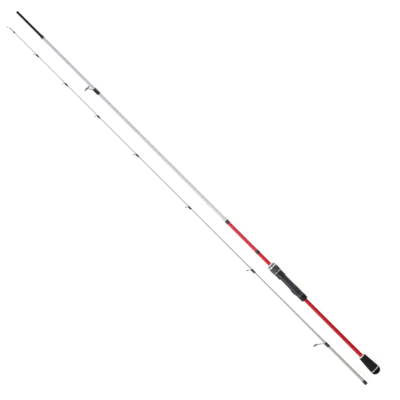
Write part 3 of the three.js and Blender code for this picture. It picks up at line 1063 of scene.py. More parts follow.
@dataclass(frozen=True)
class TipBlank:
    """The tip section's rod, which is hollow for the male ferrule at its butt end."""

    axis: Axis
    socket: tuple[float, float] = (3.42 * MM, 3.27 * MM)
    depth: float = 88 * MM
    wall: float = 0.4 * MM
    shares: tuple[tuple[float, float], ...] = (
        (0.14, 2.9 * MM), (0.185, 2.45 * MM), (0.285, 1.95 * MM),
        (0.455, 1.4 * MM), (0.72, 1.02 * MM), (1.0, 0.72 * MM))

    def taper(self) -> Taper:
        """The rod's outside, over the socket and then by shares of its length.

        Returns:
            The taper.
        """
        start, end = span("tip_blank")
        over = ((0.0, self.socket[0] + self.wall), (self.depth, self.socket[1] + self.wall))
        beyond = tuple(((end - start) * share, radius) for share, radius in self.shares)
        return Taper(start, over + beyond)

    def build(self, shop: Workshop) -> None:
        """Makes the rod: the socket inside, then the taper outside to a rounded end.

        Args:
            shop: The workshop that makes the pieces.
        """
        start, end = span("tip_blank")
        taper = self.taper()
        x = np.linspace(start, end, 90)
        softened = np.convolve(np.pad(taper.radius(x), 3, mode="edge"), np.ones(7) / 7, mode="valid")
        floor = start + self.depth
        profile = [(floor, 0.0), (floor, self.socket[1]), (start, self.socket[0])]
        profile += list(zip(x.tolist(), softened.tolist())) + [(end, 0.0)]
        shell = turned(self.axis, rounded(profile, 0.3 * MM, loop=False), ends=Ends.POINTS, sides=64)
        shop.make("tip_blank", [shell], self.finish())

    def finish(self) -> Lacquer:
        """Grey lacquer over the glass, which shows darker as the rod gets thinner.

        Returns:
            The lacquer.
        """
        start, end = span("tip_blank")
        first, second = start + 0.25 * (end - start), start + 0.5 * (end - start)
        return Lacquer("tip_lacquer", GLASS_SOCKET, fades=(
            Stripe(start + self.depth, first, GLASS_REAR),
            Stripe(first, second, GLASS_MIDDLE),
            Stripe(second, end, GLASS_TIP),
        ))


@dataclass(frozen=True)
class Band:
    """A band of thread or tape round a blank, crowned like varnish that has been turned as it set.

    The radius is the blank's, a gap and the thickness, which falls off in a quarter of an ellipse
    at each end.
    """

    node: str
    axis: Axis
    taper: Taper
    thickness: float = 0.32 * MM
    gap: float = GLUE
    meniscus: float = 1.2 * MM

    def build(self, shop: Workshop, finish: Thread) -> None:
        """Makes the band in a finish.

        Args:
            shop: The workshop that makes the pieces.
            finish: What it is finished in.
        """
        start, end = span(self.node)

        def outside(place: Array, angle: Array) -> Array:
            """The radius of the varnish."""
            crown = quarter_round(np.minimum(place - start, end - place), self.meniscus)
            return self.bore(place, angle) + self.thickness * (0.12 + 0.88 * crown)

        band = shaped(self.axis, crowded(start, end, 40), outside, self.bore, sides=72)
        shop.make(self.node, [band], finish)

    def bore(self, place: Array, angle: Array) -> Array:
        """The radius inside the band."""
        return self.taper.radius(place) + self.gap + 0 * angle


@dataclass(frozen=True)
class Guide:
    """One line guide: a frame of foot, two legs and hoop, a ceramic ring and the thread wrap.

    Attributes:
        name: What its CAD nodes' names start with.
        lean: How far the ring's outer edge tips towards the rod's tip, in degrees.
        spread: Where the legs meet the hoop, in degrees from its near edge.
        radius, hoop, width: The hoop's outer radius, band height and width.
        leg: Half the thickness of a leg.
        foot: The foot's width and thickness.
        thickness: Thread and varnish over the blank.
        trim: Length of the second colour at the wrap's butt end.
        ring: How far the ceramic ring reaches inwards.
        slack: The gap round the ceramic ring.
        meniscus: The length that the varnish falls off in at each end of the wrap.
        steel: What the frame is finished in.
    """

    name: str
    axis: Axis
    taper: Taper
    lean: float
    spread: float
    radius: float
    hoop: float
    width: float
    leg: float
    foot: tuple[float, float]
    thickness: float
    trim: float
    ring: float
    gap: float = GLUE
    slack: float = 0.12 * MM
    meniscus: float = 1.3 * MM
    steel: Metal = GUIDE_STEEL

    def around_ring(self, profile: Array, sides: int = 72) -> Shell:
        """A turned piece about the ring's own axis, which leans.

        A point is the ring's centre, plus its place along the ring's axis times (cos lean,
        -sin lean), plus its radius times cos angle along (sin lean, cos lean), plus its radius
        times sin angle sideways.

        Args:
            profile: The (along, radius) rows of a loop.
            sides: Points round the ring.

        Returns:
            The piece.
        """
        centre, rise = self.axis.local(middle(f"{self.name}_ring"))
        lean = math.radians(self.lean)
        angle = np.arange(sides) * TAU / sides
        along, radius = profile[:, :1], profile[:, 1:]
        out = radius * np.cos(angle)
        x = centre + along * math.cos(lean) + out * math.sin(lean)
        up = rise - along * math.sin(lean) + out * math.cos(lean)
        return skin(self.axis.place(x, up, radius * np.sin(angle)), Ends.BORE)

    def hoop_shell(self) -> Shell:
        """The hoop: a flat band with rounded edges, bent round the ring.

        Returns:
            The skin.
        """
        half, inner = self.width / 2, self.radius - self.hoop
        loop = [(-half, inner), (-half, self.radius), (half, self.radius), (half, inner)]
        return self.around_ring(rounded(loop, 0.3 * self.hoop, 6))

    def ring_shell(self) -> Shell:
        """The ceramic ring: flat where the hoop holds it and half round where the line runs.

        Returns:
            The skin.
        """
        outer = self.radius - self.hoop - self.slack
        half = 0.62 * self.width
        turn = np.linspace(-math.pi / 2, math.pi / 2, 15)
        depth = self.ring * (0.35 + 0.65 * np.cos(turn))
        round_side = np.stack([half * np.sin(turn), outer - depth], axis=-1)
        edge = outer - 4 * TINY
        flat_side = np.array([(half, edge), (0.85 * half, outer), (-0.85 * half, outer), (-half, edge)])
        return self.around_ring(np.concatenate([round_side, flat_side]))

    def leg_shell(self, start: tuple[float, float, float], hand: int) -> Shell:
        """One leg, from the foot to the hoop's edge.

        Its path is a parabola from the start to the end, whose middle point is pulled forwards
        and down from the straight line. It is flattened where it meets the hoop.

        Args:
            start: The (x, up, side) that it leaves from.
            hand: 1 or -1 for the two sides.

        Returns:
            The leg.
        """
        centre, rise = self.axis.local(middle(f"{self.name}_ring"))
        lean, spread = math.radians(self.lean), math.radians(self.spread)
        hold = self.radius - 0.5 * self.hoop
        inwards = hold * math.cos(spread)
        end = np.array([
            centre - inwards * math.sin(lean), rise - inwards * math.cos(lean),
            hand * hold * math.sin(spread)])
        begin = np.array([start[0], start[1], hand * start[2]])
        bend = begin + (end - begin) * np.array([0.55, 0.38, 0.5])
        t = np.linspace(0, 1, 24)[:, None]
        path = (1 - t) ** 2 * begin + 2 * t * (1 - t) * bend + t**2 * end
        slim = self.leg * (1 - 0.15 * np.sin(math.pi * t[:, 0]))
        return swept(self.axis, path, 1.15 * slim, 0.9 * slim, np.array([0.0, 0.0, 1.0]))

    def foot_shell(self, seat: float) -> Shell:
        """The foot: a thin blade that narrows and thins towards its rear end.

        Args:
            seat: Its height over the blank's axis.

        Returns:
            The foot.
        """
        start, end = span(f"{self.name}_wrap")
        x = np.linspace(start + MM, end + 2 * self.leg, 40)
        share = (x - x[0]) / (x[-1] - x[0])
        width, thickness = self.foot
        across = width / 2 * (0.35 + 0.65 * np.sqrt(share)) * np.sqrt(np.clip((1 - share) * 12, 0, 1))
        thick = thickness / 2 * (0.4 + 0.6 * share) * np.sqrt(np.clip((1 - share) * 20, 0, 1))
        path = np.stack([x, seat + thick, 0 * x], axis=-1)
        sharp = 0.1 * TINY
        return swept(self.axis, path, across + sharp, thick + sharp, np.array([0.0, 0.0, 1.0]), 28)

    def wrap_shell(self, seat: float) -> Shell:
        """The thread wrap, lifted where it runs over the foot.

        The radius is the seat's height plus the thread, plus the foot's thickness times a bell
        over the angle, which grows along the wrap as the foot does, and the whole falls off in a
        quarter of an ellipse at each end.

        Args:
            seat: The foot's height over the blank's axis.

        Returns:
            The wrap.
        """
        start, end = span(f"{self.name}_wrap")
        width, thickness = self.foot
        spread = width / (2 * seat) + 0.25

        def outside(place: Array, angle: Array) -> Array:
            """The radius of the varnish.

            Args:
                place: Places along the rod.
                angle: Angles from the guides.

            Returns:
                The radii.
            """
            turn = (angle + math.pi) % TAU - math.pi
            crown = 0.15 + 0.85 * quarter_round(np.minimum(place - start, end - place), self.meniscus)
            lift = smooth_step(place, start + 0.6 * MM, start + 4 * MM) * bell(turn, 0, spread)
            return self.bore(place, angle) + (self.thickness + (thickness + self.gap) * lift) * crown

        return shaped(self.axis, crowded(start, end, 48), outside, self.bore, sides=72)

    def bore(self, place: Array, angle: Array) -> Array:
        """The radius inside the wrap."""
        return self.taper.radius(place) + 0.8 * self.gap + 0 * angle

    def build(self, shop: Workshop) -> None:
        """Makes the frame, the ring and the wrap.

        Args:
            shop: The workshop that makes the pieces.
        """
        start, end = span(f"{self.name}_wrap")
        seat = float(self.taper.radius(start)) + self.gap
        leaves = (end + self.leg - 1.2 * MM, seat + self.foot[1] / 2, self.foot[0] / 2 - self.leg)
        frame_shells = [self.foot_shell(seat), self.hoop_shell()]
        frame_shells += [self.leg_shell(leaves, hand) for hand in (1, -1)]
        shop.make(f"{self.name}_frame", frame_shells, self.steel)
        shop.make(f"{self.name}_ring", [self.ring_shell()], CERAMIC)
        trim = Stripe(start - MM, start + self.trim, GLINTED_MAROON)
        thread = Thread(f"{self.name}_thread", GLINTED_BLACK_THREAD, trim)
        shop.make(f"{self.name}_wrap", [self.wrap_shell(seat)], thread)


@dataclass(frozen=True)
class TipTop(Guide):
    """The last guide: a closed tube on the rod's end in place of a foot."""

    tube: float = 13 * MM
    wall: float = 0.5 * MM

    def tube_shell(self) -> Shell:
        """The tube, open towards the butt and domed at its front end.

        Returns:
            The skin.
        """
        start = span("tip_top_frame")[0]
        end = start + self.tube
        bore = float(self.taper.radius(start)) + self.gap
        bottom, outer = end - 1.2 * MM, bore + self.wall
        profile = [(bottom, 0.0), (bottom, bore), (start, bore), (start, outer)]
        profile += [(end - 0.9 * MM, outer), (end - 0.2 * MM, 0.7 * bore), (end, 0.0)]
        return turned(self.axis, rounded(profile, 0.35 * MM, loop=False), ends=Ends.POINTS, sides=48)

    def build(self, shop: Workshop) -> None:
        """Makes the frame with its tube, the ring and the plain wrap behind the tube.

        Args:
            shop: The workshop that makes the pieces.
        """
        start = span("tip_top_frame")[0]
        outer = float(self.taper.radius(start)) + self.gap + self.wall
        leaves = (start + self.tube - 1.6 * MM, 0.35 * outer, outer - 0.6 * self.leg)
        frame_shells = [self.tube_shell(), self.hoop_shell()]
        frame_shells += [self.leg_shell(leaves, hand) for hand in (1, -1)]
        shop.make("tip_top_frame", frame_shells, self.steel)
        shop.make("tip_top_ring", [self.ring_shell()], CERAMIC)
        wrap = span("tip_top_wrap")
        trim = Stripe(wrap[0] - MM, wrap[0] + self.trim, GLINTED_MAROON)
        band = Band("tip_top_wrap", self.axis, self.taper, self.thickness, self.gap)
        band.build(shop, Thread("tip_top_thread", GLINTED_BLACK_THREAD, trim))


@dataclass(frozen=True)
class CheckRing:
    """A bright ring on the butt blank that narrows forwards over a small step.

    Attributes:
        node: The CAD node that it stands for.
        walls: Its thickness at its rear and at its front.
    """

    node: str
    axis: Axis
    taper: Taper
    walls: tuple[float, float]
    gap: float = GLUE

    def build(self, shop: Workshop, finish: Metal) -> None:
        """Makes the ring in a finish.

        Args:
            shop: The workshop that makes the pieces.
            finish: What it is finished in.
        """
        start, end = span(self.node)
        bore = float(self.taper.radius(start)) + self.gap
        rear, front = (bore + wall for wall in self.walls)
        step = start + 0.55 * (end - start)
        profile = [(start, bore), (start, rear), (step, rear - 0.1 * MM), (step, front + 0.2 * MM)]
        profile += [(end, front), (end, bore)]
        shop.make(self.node, [turned(self.axis, rounded(profile, 0.4 * MM), sides=120)], finish)


@dataclass(frozen=True)
class ButtEnd:
    """The butt cap, the bright ring behind the foam grip, the grip and the check ahead of it.

    Attributes:
        cap_end: The radius of the cap's flat end.
        cap_wall: The thickness of the cap over the blank's end.
        cap_dimple: The depth of the hollow in the flat end.
        cap_grooves: Where the grooves lie, as shares of the cap's length, and their shares' width.
        groove_depth: How deep those grooves are.
        grip_radii: The grip's radius at its rear and at its front.
        rim: How much the grip's front edge is taken off.
        check_walls: The front check's thickness at its rear and at its front.
    """

    axis: Axis
    taper: Taper
    gap: float = GLUE
    cap_end: float = 3.4 * MM
    cap_wall: float = 3.5 * MM
    cap_dimple: float = 0.25 * MM
    cap_grooves: tuple[tuple[float, float], ...] = ((0.6, 0.02), (0.74, 0.02))
    groove_depth: float = 0.22 * MM
    grip_radii: tuple[float, float] = (12.2 * MM, 9 * MM)
    rim: float = 0.5 * MM
    check_walls: tuple[float, float] = (3.2 * MM, 2.4 * MM)

    def beside(self, x: float) -> float:
        """The bore of a piece that is glued to the blank at a place."""
        return float(self.taper.radius(x)) + self.gap

    def cap_shell(self) -> Shell:
        """The cap: a dome with two shallow grooves, round a flat end with a dimple.

        The dome is a quarter of an ellipse: as an angle goes from 0 to a right angle, the place
        is the length times 1 - cos and the radius is the end's plus the rest times sin.

        Returns:
            The cap.
        """
        start, end = span("butt_cap")
        radius = reach("butt_cap")
        bore = self.beside(start + self.cap_wall)
        angle = np.linspace(0.03, math.pi / 2, 80)
        share = 1 - np.cos(angle)
        dome = self.cap_end + (radius - self.cap_end) * np.sin(angle)
        for groove, width in self.cap_grooves:
            dome = dome - self.groove_depth * bell(share, groove, width)
        x = start + (end - start) * share
        dimple, inside = start + self.cap_dimple, start + self.cap_wall
        profile = [(dimple, 0.0), (dimple, 0.5 * self.cap_end), (start, 0.62 * self.cap_end)]
        profile += [(start, self.cap_end)] + list(zip(x.tolist(), dome.tolist()))
        profile += [(end, bore), (inside, bore), (inside, 0.0)]
        return turned(self.axis, rounded(profile, 0.3 * MM, 4, loop=False), ends=Ends.POINTS, sides=120)

    def grip_shell(self) -> Shell:
        """The grip: a straight taper with a faint swell, soft at its edges.

        Returns:
            The skin.
        """
        start, end = span("butt_grip")
        rear, front = self.grip_radii
        x = np.linspace(start, end - self.rim, 40)
        swell = 0.12 * MM * np.sin(math.pi * (x - start) / (end - start))
        outside = rear + (front - rear) * (x - x[0]) / (x[-1] - x[0]) + swell
        profile = [(start, self.beside(start))] + list(zip(x.tolist(), outside.tolist()))
        profile += [(end, front - self.rim), (end, self.beside(end))]
        return turned(self.axis, rounded(profile, 0.8 * MM, 6), sides=120)

    def ring_shell(self) -> Shell:
        """The ring behind the grip, with a groove round its middle.

        Returns:
            The skin.
        """
        start, end = span("grip_ring")
        radius, mid = reach("grip_ring"), (start + end) / 2
        bore, floor = self.beside(start), radius - 0.3 * MM
        profile = [(start, bore), (start, radius), (mid - 0.4 * MM, radius), (mid - 0.25 * MM, floor)]
        profile += [(mid + 0.25 * MM, floor), (mid + 0.4 * MM, radius), (end, radius), (end, bore)]
        return turned(self.axis, rounded(profile, 0.3 * MM), sides=120)

    def build(self, shop: Workshop) -> None:
        """Makes the four pieces.

        Args:
            shop: The workshop that makes the pieces.
        """
        shop.make("butt_cap", [self.cap_shell()], CAP_RUBBER, 50)
        shop.make("grip_ring", [self.ring_shell()], SATIN)
        shop.make("butt_grip", [self.grip_shell()], FOAM, 60)
        CheckRing("grip_check", self.axis, self.taper, self.check_walls).build(shop, BRIGHT)


@dataclass(frozen=True)
class ReelSeat:
    """The reel seat: threaded body with a fixed hood, its rings and caps, sliding hood and nut.

    Walls are measured from the body's bore or, on the sliding hood, from its own.

    Attributes:
        run: The gap where one piece slides or turns on another.
        arbor_wall, spigot_wall, body_wall, rear_wall: Walls of the arbors and of the body at its
            ends, along the barrel and at its rear.
        hood_offset, hood_wall: How far the fixed hood's centre lies towards the guides, and how
            far the hood stands out of the barrel.
        hood_places: Where the fixed hood starts, is highest and opens, from the body's start.
        travel: How far the sliding hood can move.
        bed_wall, relief: The wall under the reel's foot, and how much lower the pocket is cut.
        pocket_depth, pocket_wall: The fixed hood's pocket.
        thread: The thread's depth, pitch and length.
        slot_half: Half the width of the slot that the sliding hood's key runs in.
        neck_wall, slide_wall: Walls of the sliding hood at its neck and behind it.
        slide_pocket: The wall over the sliding hood's pocket and the pocket's width.
        hood_lip: The depth and length of the rounding at the sliding hood's rear.
        hood_waist: How much the sliding hood is slimmer half way.
        hood_grooves: How far its grooves lie behind the ring.
        groove: The depth and width of a groove.
        nut_neck: How far the hood's neck reaches into the nut.
        nut_edge: The depth and length of the rounding at the nut's ends.
        nut_collars, flute_end: The nut's plain collars at its rear and front, and the length that
            a flute runs out in.
        flutes, flute: How many flutes the nut has, how far their ridges lie under the collars,
            and how much deeper the valleys are.
        check_walls: The winding check's thickness at its rear and at its front.
        cap_wall, cap_edge: The rear cap's wall over the spigot and the rounding at its rear.
    """

    axis: Axis
    taper: Taper
    gap: float = GLUE
    run: float = 0.3 * MM
    arbor_wall: float = 1 * MM
    spigot_wall: float = 1.15 * MM
    body_wall: float = 2.4 * MM
    rear_wall: float = 2.7 * MM
    hood_offset: float = 0.7 * MM
    hood_wall: float = 1.2 * MM
    hood_places: tuple[float, float, float] = (3 * MM, 14 * MM, 24.5 * MM)
    travel: float = 12.5 * MM
    bed_wall: float = 1.1 * MM
    pocket_depth: float = 12 * MM
    pocket_wall: float = 1.1 * MM
    relief: float = 0.3 * MM
    thread: tuple[float, float, float] = (0.7 * MM, 2.5 * MM, 25 * MM)
    slot_half: float = 1.8 * MM
    neck_wall: float = 0.9 * MM
    slide_wall: float = 1.45 * MM
    slide_pocket: tuple[float, float] = (0.9 * MM, 9.6 * MM)
    hood_lip: tuple[float, float] = (0.7 * MM, 1.6 * MM)
    hood_waist: float = 0.25 * MM
    hood_grooves: tuple[float, float] = (2 * MM, 3.2 * MM)
    groove: tuple[float, float] = (0.18 * MM, 0.25 * MM)
    nut_neck: float = 4.5 * MM
    nut_edge: tuple[float, float] = (0.7 * MM, 1.1 * MM)
    nut_collars: tuple[float, float] = (1.6 * MM, 1.8 * MM)
    flute_end: float = 0.8 * MM
    flutes: int = 30
    flute: tuple[float, float] = (0.12 * MM, 0.42 * MM)
    check_walls: tuple[float, float] = (3 * MM, 1.2 * MM)
    cap_wall: float = 1.1 * MM
    cap_edge: float = 1.2 * MM

    def bore(self) -> float:
        """The radius of the body's bore, over the arbors."""
        start = span("seat_rear_cap")[0]
        return float(self.taper.radius(start)) + self.gap + self.arbor_wall + self.gap

    def barrel(self) -> tuple[float, float]:
        """Where the body's full width starts and ends."""
        return span("seat_rear_ring")[1] + self.gap, span("seat_front_ring")[0] - self.gap

    def rearmost(self) -> float:
        """The place that the sliding hood stays ahead of."""
        return span("sliding_hood")[0] - self.travel - self.run

    def body_radius(self, place: Array, angle: Array) -> Array:
        """The outside of the body.

        It is the barrel's taper, or the fixed hood's round where that stands out further; flat
        where the reel's foot lies, which is the bed's height over the cosine of the angle; and a
        wave that turns once round in a pitch where the thread is.

        Args:
            place: Places along the rod.
            angle: Angles from the guides.

        Returns:
            The radii.
        """
        bore, (start, end) = self.bore(), self.barrel()
        slim, spigot = bore + self.body_wall, bore + self.spigot_wall
        first, crown, mouth = (start + along for along in self.hood_places)
        run_out, off = self.rearmost(), self.hood_offset
        radius = np.interp(place, [start, run_out], [bore + self.rear_wall, slim]) + 0 * angle
        buried, high = slim - off - 0.5 * MM, slim + self.hood_wall
        swell = np.interp(
            place, [first, (first + crown) / 2, crown, mouth, run_out],
            [buried, 0.25 * buried + 0.75 * high, high, high, buried])
        hood = off * np.cos(angle) + np.sqrt(swell**2 - (off * np.sin(angle)) ** 2)
        radius = -smooth_min(-radius, -hood, 0.5 * MM)
        depth, pitch, length = self.thread
        wave = 0.5 - 0.5 * np.cos(TAU * place / pitch + angle)
        fade = smooth_step(place, end - length, end - length + pitch)
        radius = radius - depth * fade * np.clip(1.6 * wave - 0.3, 0, 1) - 0.1 * MM * fade
        bed = (bore + self.bed_wall) / np.maximum(np.cos(angle), 0.02)
        hood_end = span("hood_ring")[0]
        on_bed = (place > mouth) & (place < hood_end) & (np.cos(angle) > 0.02)
        radius = np.where(on_bed, smooth_min(radius, bed, 0.12 * MM), radius)
        return np.where((place < start) | (place > end), spigot, radius)

    def body_shells(self) -> tuple[Shell, list[Shell]]:
        """The body as a tube, and the cutters for its foot pocket, the relief and the key slot.

        Returns:
            The body's skin, and the skins that cut the pocket and the slot.
        """
        bore, (start, end) = self.bore(), self.barrel()
        seat_start, seat_end = span("reel_seat")
        mouth, hood_end = start + self.hood_places[2], span("hood_ring")[0]
        steps = np.add.outer([start, end, mouth, hood_end], [-TINY, TINY]).ravel()
        fine = np.linspace(end - self.thread[2], end, 126)
        x = np.unique(np.concatenate([np.linspace(seat_start, seat_end, 136), fine, steps]))
        body = shaped(self.axis, x, self.body_radius, lambda place, angle: bore + 0 * place * angle, 176)
        floor = bore + self.bed_wall - self.relief
        arch = bore + self.body_wall + self.hood_wall - self.pocket_wall
        half = math.sqrt(arch**2 - (floor - self.hood_offset + 0.5 * MM) ** 2)
        side = half * np.cos(np.linspace(math.pi, 0, 24))
        roof = self.hood_offset + np.sqrt(arch**2 - side**2)
        ceiling = np.stack([roof, side], axis=-1)
        ground = np.stack([0 * side + floor, side[::-1]], axis=-1)
        pocket = self.bar(np.concatenate([ceiling, ground]), mouth - self.pocket_depth, mouth + MM)
        beyond = -bore - 6 * MM
        key = self.box_loop(beyond, self.key_floor(), self.slot_half)
        slot = self.bar(key, self.rearmost() + 0.5 * MM, end + 0.5 * MM)
        return body, [pocket, slot]

    def key_floor(self) -> float:
        """The height of the key slot's floor, which faces away from the guides."""
        return -self.bore() - self.spigot_wall - 0.1 * MM

    def box_loop(self, low: float, high: float, half: float) -> Array:
        """The section of a square bar, as (up, side) rows."""
        return np.array([(low, -half), (low, half), (high, half), (high, -half)])

    def bar(self, loop: Array, start: float, end: float) -> Shell:
        """A straight bar between two places, whose section is a loop of (up, side) rows."""
        x = np.array([start, start, end, end])[:, None]
        return skin(self.axis.place(x, loop[None, :, 0] + 0 * x, loop[None, :, 1] + 0 * x), Ends.POINTS)

    def hood_shells(self) -> list[Shell]:
        """The sliding hood, with a pocket in its bore for the reel's foot, and its key.

        The bore is the slide's radius, or where it faces the bed, half the pocket's width over
        the sine of the angle, up to the pocket's arch.

        Returns:
            The hood and the key.
        """
        start = span("sliding_hood")[0]
        end = span("hood_ring")[0] - self.gap
        neck_end = span("sliding_hood")[1]
        slide = self.bore() + self.body_wall + self.run
        outer, neck = slide + self.slide_wall, slide + self.neck_wall
        wall, width = self.slide_pocket
        lip_depth, lip_length = self.hood_lip
        depth, spread = self.groove

        def outside(place: Array, angle: Array) -> Array:
            """The hood's outside: rounded at its rear lip, waisted a little, then the neck.

            Args:
                place: Places along the rod.
                angle: Angles from the guides.

            Returns:
                The radii.
            """
            lip = lip_depth * (1 - quarter_round(place - start, lip_length))
            share = np.clip((place - start) / (end - start), 0, 1)
            waist = self.hood_waist * np.sin(math.pi * share) ** 2
            grooves = sum(depth * bell(place, end - behind, spread) for behind in self.hood_grooves)
            return np.where(place > end, neck, outer - lip - waist - grooves) + 0 * angle

        def inside(place: Array, angle: Array) -> Array:
            """The hood's bore: the slide's, or the pocket's where it faces the bed.

            Args:
                place: Places along the rod.
                angle: Angles from the guides.

            Returns:
                The radii.
            """
            wide = width / 2 / np.maximum(np.abs(np.sin(angle)), 1e-4)
            arched = np.minimum(outer - wall - 0.2 * MM, np.maximum(slide, wide))
            return np.where((np.cos(angle) > 0) & (place < end - wall), arched, slide)

        steps = np.array([end - wall - TINY, end - wall + TINY, end + TINY, neck_end])
        x = np.unique(np.concatenate([crowded(start, end, 70), steps]))
        hood = shaped(self.axis, x, outside, inside, 192)
        loop = self.box_loop(-slide - 0.5 * MM, self.key_floor() - self.run, self.slot_half - self.run)
        return [hood, self.bar(loop, start + 0.5 * MM, end)]

    def nut_shell(self) -> Shell:
        """The locking nut: fluted round its middle, with a plain collar at each end.

        The flutes are a cosine of the flute count times the angle, raised to a power to leave
        narrow valleys, and they fade out at the collars.

        Returns:
            The nut.
        """
        start, end = span("locking_nut")
        radius = reach("locking_nut")
        slide = self.bore() + self.body_wall + self.run
        neck = slide + self.neck_wall + self.run
        thread = self.bore() + self.body_wall - 0.1 * MM + self.run
        floor = start + self.nut_neck + self.run
        edge_depth, edge_length = self.nut_edge
        rear, front = start + self.nut_collars[0], end - self.nut_collars[1]
        ridge, valley = self.flute

        def outside(place: Array, angle: Array) -> Array:
            """The nut's outside.

            Args:
                place: Places along the rod.
                angle: Angles from the guides.

            Returns:
                The radii.
            """
            edge = edge_depth * (1 - quarter_round(np.minimum(place - start, end - place), edge_length))
            grip = smooth_step(place, rear, rear + self.flute_end)
            grip = grip * (1 - smooth_step(place, front - self.flute_end, front))
            fluting = (0.5 + 0.5 * np.cos(self.flutes * angle)) ** 3
            return radius - edge - grip * (ridge + valley * fluting)

        def inside(place: Array, angle: Array) -> Array:
            """The nut's bore, wider round the hood's neck."""
            return np.where(place < floor, neck, thread) + 0 * angle

        x = np.unique(np.concatenate([crowded(start, end, 60), [floor - TINY, floor + TINY]]))
        return shaped(self.axis, x, outside, inside, 240)

    def ring_shell(self, node: str, bore: float) -> Shell:
        """A ring with a soft crown, as a CAD node's outside and a bore give it.

        Args:
            node: The CAD node.
            bore: The radius inside the ring.

        Returns:
            The skin.
        """
        start, end = span(node)
        radius = reach(node)
        edge = 0.22 * (end - start)
        profile = [(start, bore), (start, radius - edge), (start + edge, radius), (end - edge, radius)]
        profile += [(end, radius - edge), (end, bore)]
        return turned(self.axis, rounded(profile, 0.5 * MM, 6), sides=120)

    def rear_cap_shell(self) -> Shell:
        """The rear cap: nearly straight, with a round rear edge and a fine groove near the ring.

        Returns:
            The skin.
        """
        start, end = span("seat_rear_cap")
        hole = float(self.taper.radius(start)) + self.gap
        bore = self.bore() + self.spigot_wall + self.gap
        rear, full = bore + self.cap_wall, reach("seat_rear_cap")
        share = np.linspace(0, 1, 70) ** 1.6
        x = start + (end - start) * share
        outside = rear + (full - rear) * share
        outside = outside - self.cap_edge * (1 - quarter_round(x - start, self.cap_edge))
        outside = outside - 0.2 * MM * bell(share, 0.86, 0.025)
        floor = start + 1.2 * MM
        profile = [(start, hole)] + list(zip(x.tolist(), outside.tolist()))
        profile += [(end, bore), (floor, bore), (floor, hole)]
        return turned(self.axis, rounded(profile, 0.4 * MM, 4), sides=120)

    def front_cap_shell(self) -> Shell:
        """The front cap: a thin collar with a rounded front edge.

        Returns:
            The skin.
        """
        start, end = span("seat_front_cap")
        spigot_end = span("reel_seat")[1]
        floor = spigot_end + self.gap
        hole = float(self.taper.radius(spigot_end)) + self.gap
        bore = self.bore() + self.spigot_wall + self.gap
        radius = reach("seat_front_cap")
        profile = [(start, bore), (start, radius), (end - 0.8 * MM, radius), (end, radius - 0.6 * MM)]
        profile += [(end, hole), (floor, hole), (floor, bore)]
        return turned(self.axis, rounded(profile, 0.5 * MM), sides=120)

    def build(self, shop: Workshop) -> None:
        """Makes every piece of the seat.

        Args:
            shop: The workshop that makes the pieces.
        """
        body, cutters = self.body_shells()
        cut(shop.make("reel_seat", [body], GRAPHITE, 32), cutters, 32)
        shop.make("sliding_hood", self.hood_shells(), HOOD_GRAPHITE, 32)
        shop.make("locking_nut", [self.nut_shell()], NUT_GRAPHITE, 45)
        spigot = self.bore() + self.spigot_wall + self.gap
        neck = self.bore() + self.body_wall + self.run + self.neck_wall + self.gap
        rings = (
            ("seat_rear_ring", spigot, DULL), ("seat_front_ring", spigot, BRIGHT),
            ("hood_ring", neck, SATIN))
        for node, bore, finish in rings:
            shop.make(node, [self.ring_shell(node, bore)], finish)
        shop.make("seat_rear_cap", [self.rear_cap_shell()], SEAT_RUBBER, 50)
        shop.make("seat_front_cap", [self.front_cap_shell()], SMOKED)
        CheckRing("winding_check", self.axis, self.taper, self.check_walls).build(shop, BRIGHT)
        for node in ("rear_arbor", "front_arbor"):
            shop.redress(node, CORK)


# ---------------------------------------------------------------- the whole


@dataclass(frozen=True)
class ButtSection:
    """The butt section: blank, butt end, reel seat, bands and the stripper guide."""

    axis: Axis = field(default_factory=lambda: section_axis("butt_blank", "stripper_ring"))
    ferrule_length: float = 83 * MM

    def build(self, shop: Workshop) -> None:
        """Makes the section's pieces in order.

        Args:
            shop: The workshop that makes the pieces.
        """
        shoulder = span("butt_blank")[1] - self.ferrule_length
        blank = ButtBlank(self.axis, shoulder)
        taper = blank.taper()
        blank.build(shop)
        ButtEnd(self.axis, taper).build(shop)
        ReelSeat(self.axis, taper).build(shop)
        start, end = span("ferrule_wrap")
        trim = Stripe(start - MM, (start + end) / 2, GLINTED_MAROON)
        black = Thread("trim_thread", GLINTED_BLACK_THREAD)
        bands = (
            ("rear_trim_wrap", black), ("front_trim_wrap", black),
            ("pale_trim_wrap", Thread("pale_thread", GLINTED_PALE_THREAD, gloss_floor=0.2)),
            ("ferrule_wrap", Thread("ferrule_thread", GLINTED_BLACK_THREAD, trim)))
        for node, finish in bands:
            Band(node, self.axis, taper).build(shop, finish)
        stripper = Guide(
            "stripper", self.axis, taper, lean=0, spread=85, radius=8.2 * MM, hoop=1 * MM,
            width=1.8 * MM, leg=0.6 * MM, foot=(2.6 * MM, 0.5 * MM), thickness=0.45 * MM,
            trim=3 * MM, ring=1.3 * MM)
        stripper.build(shop)


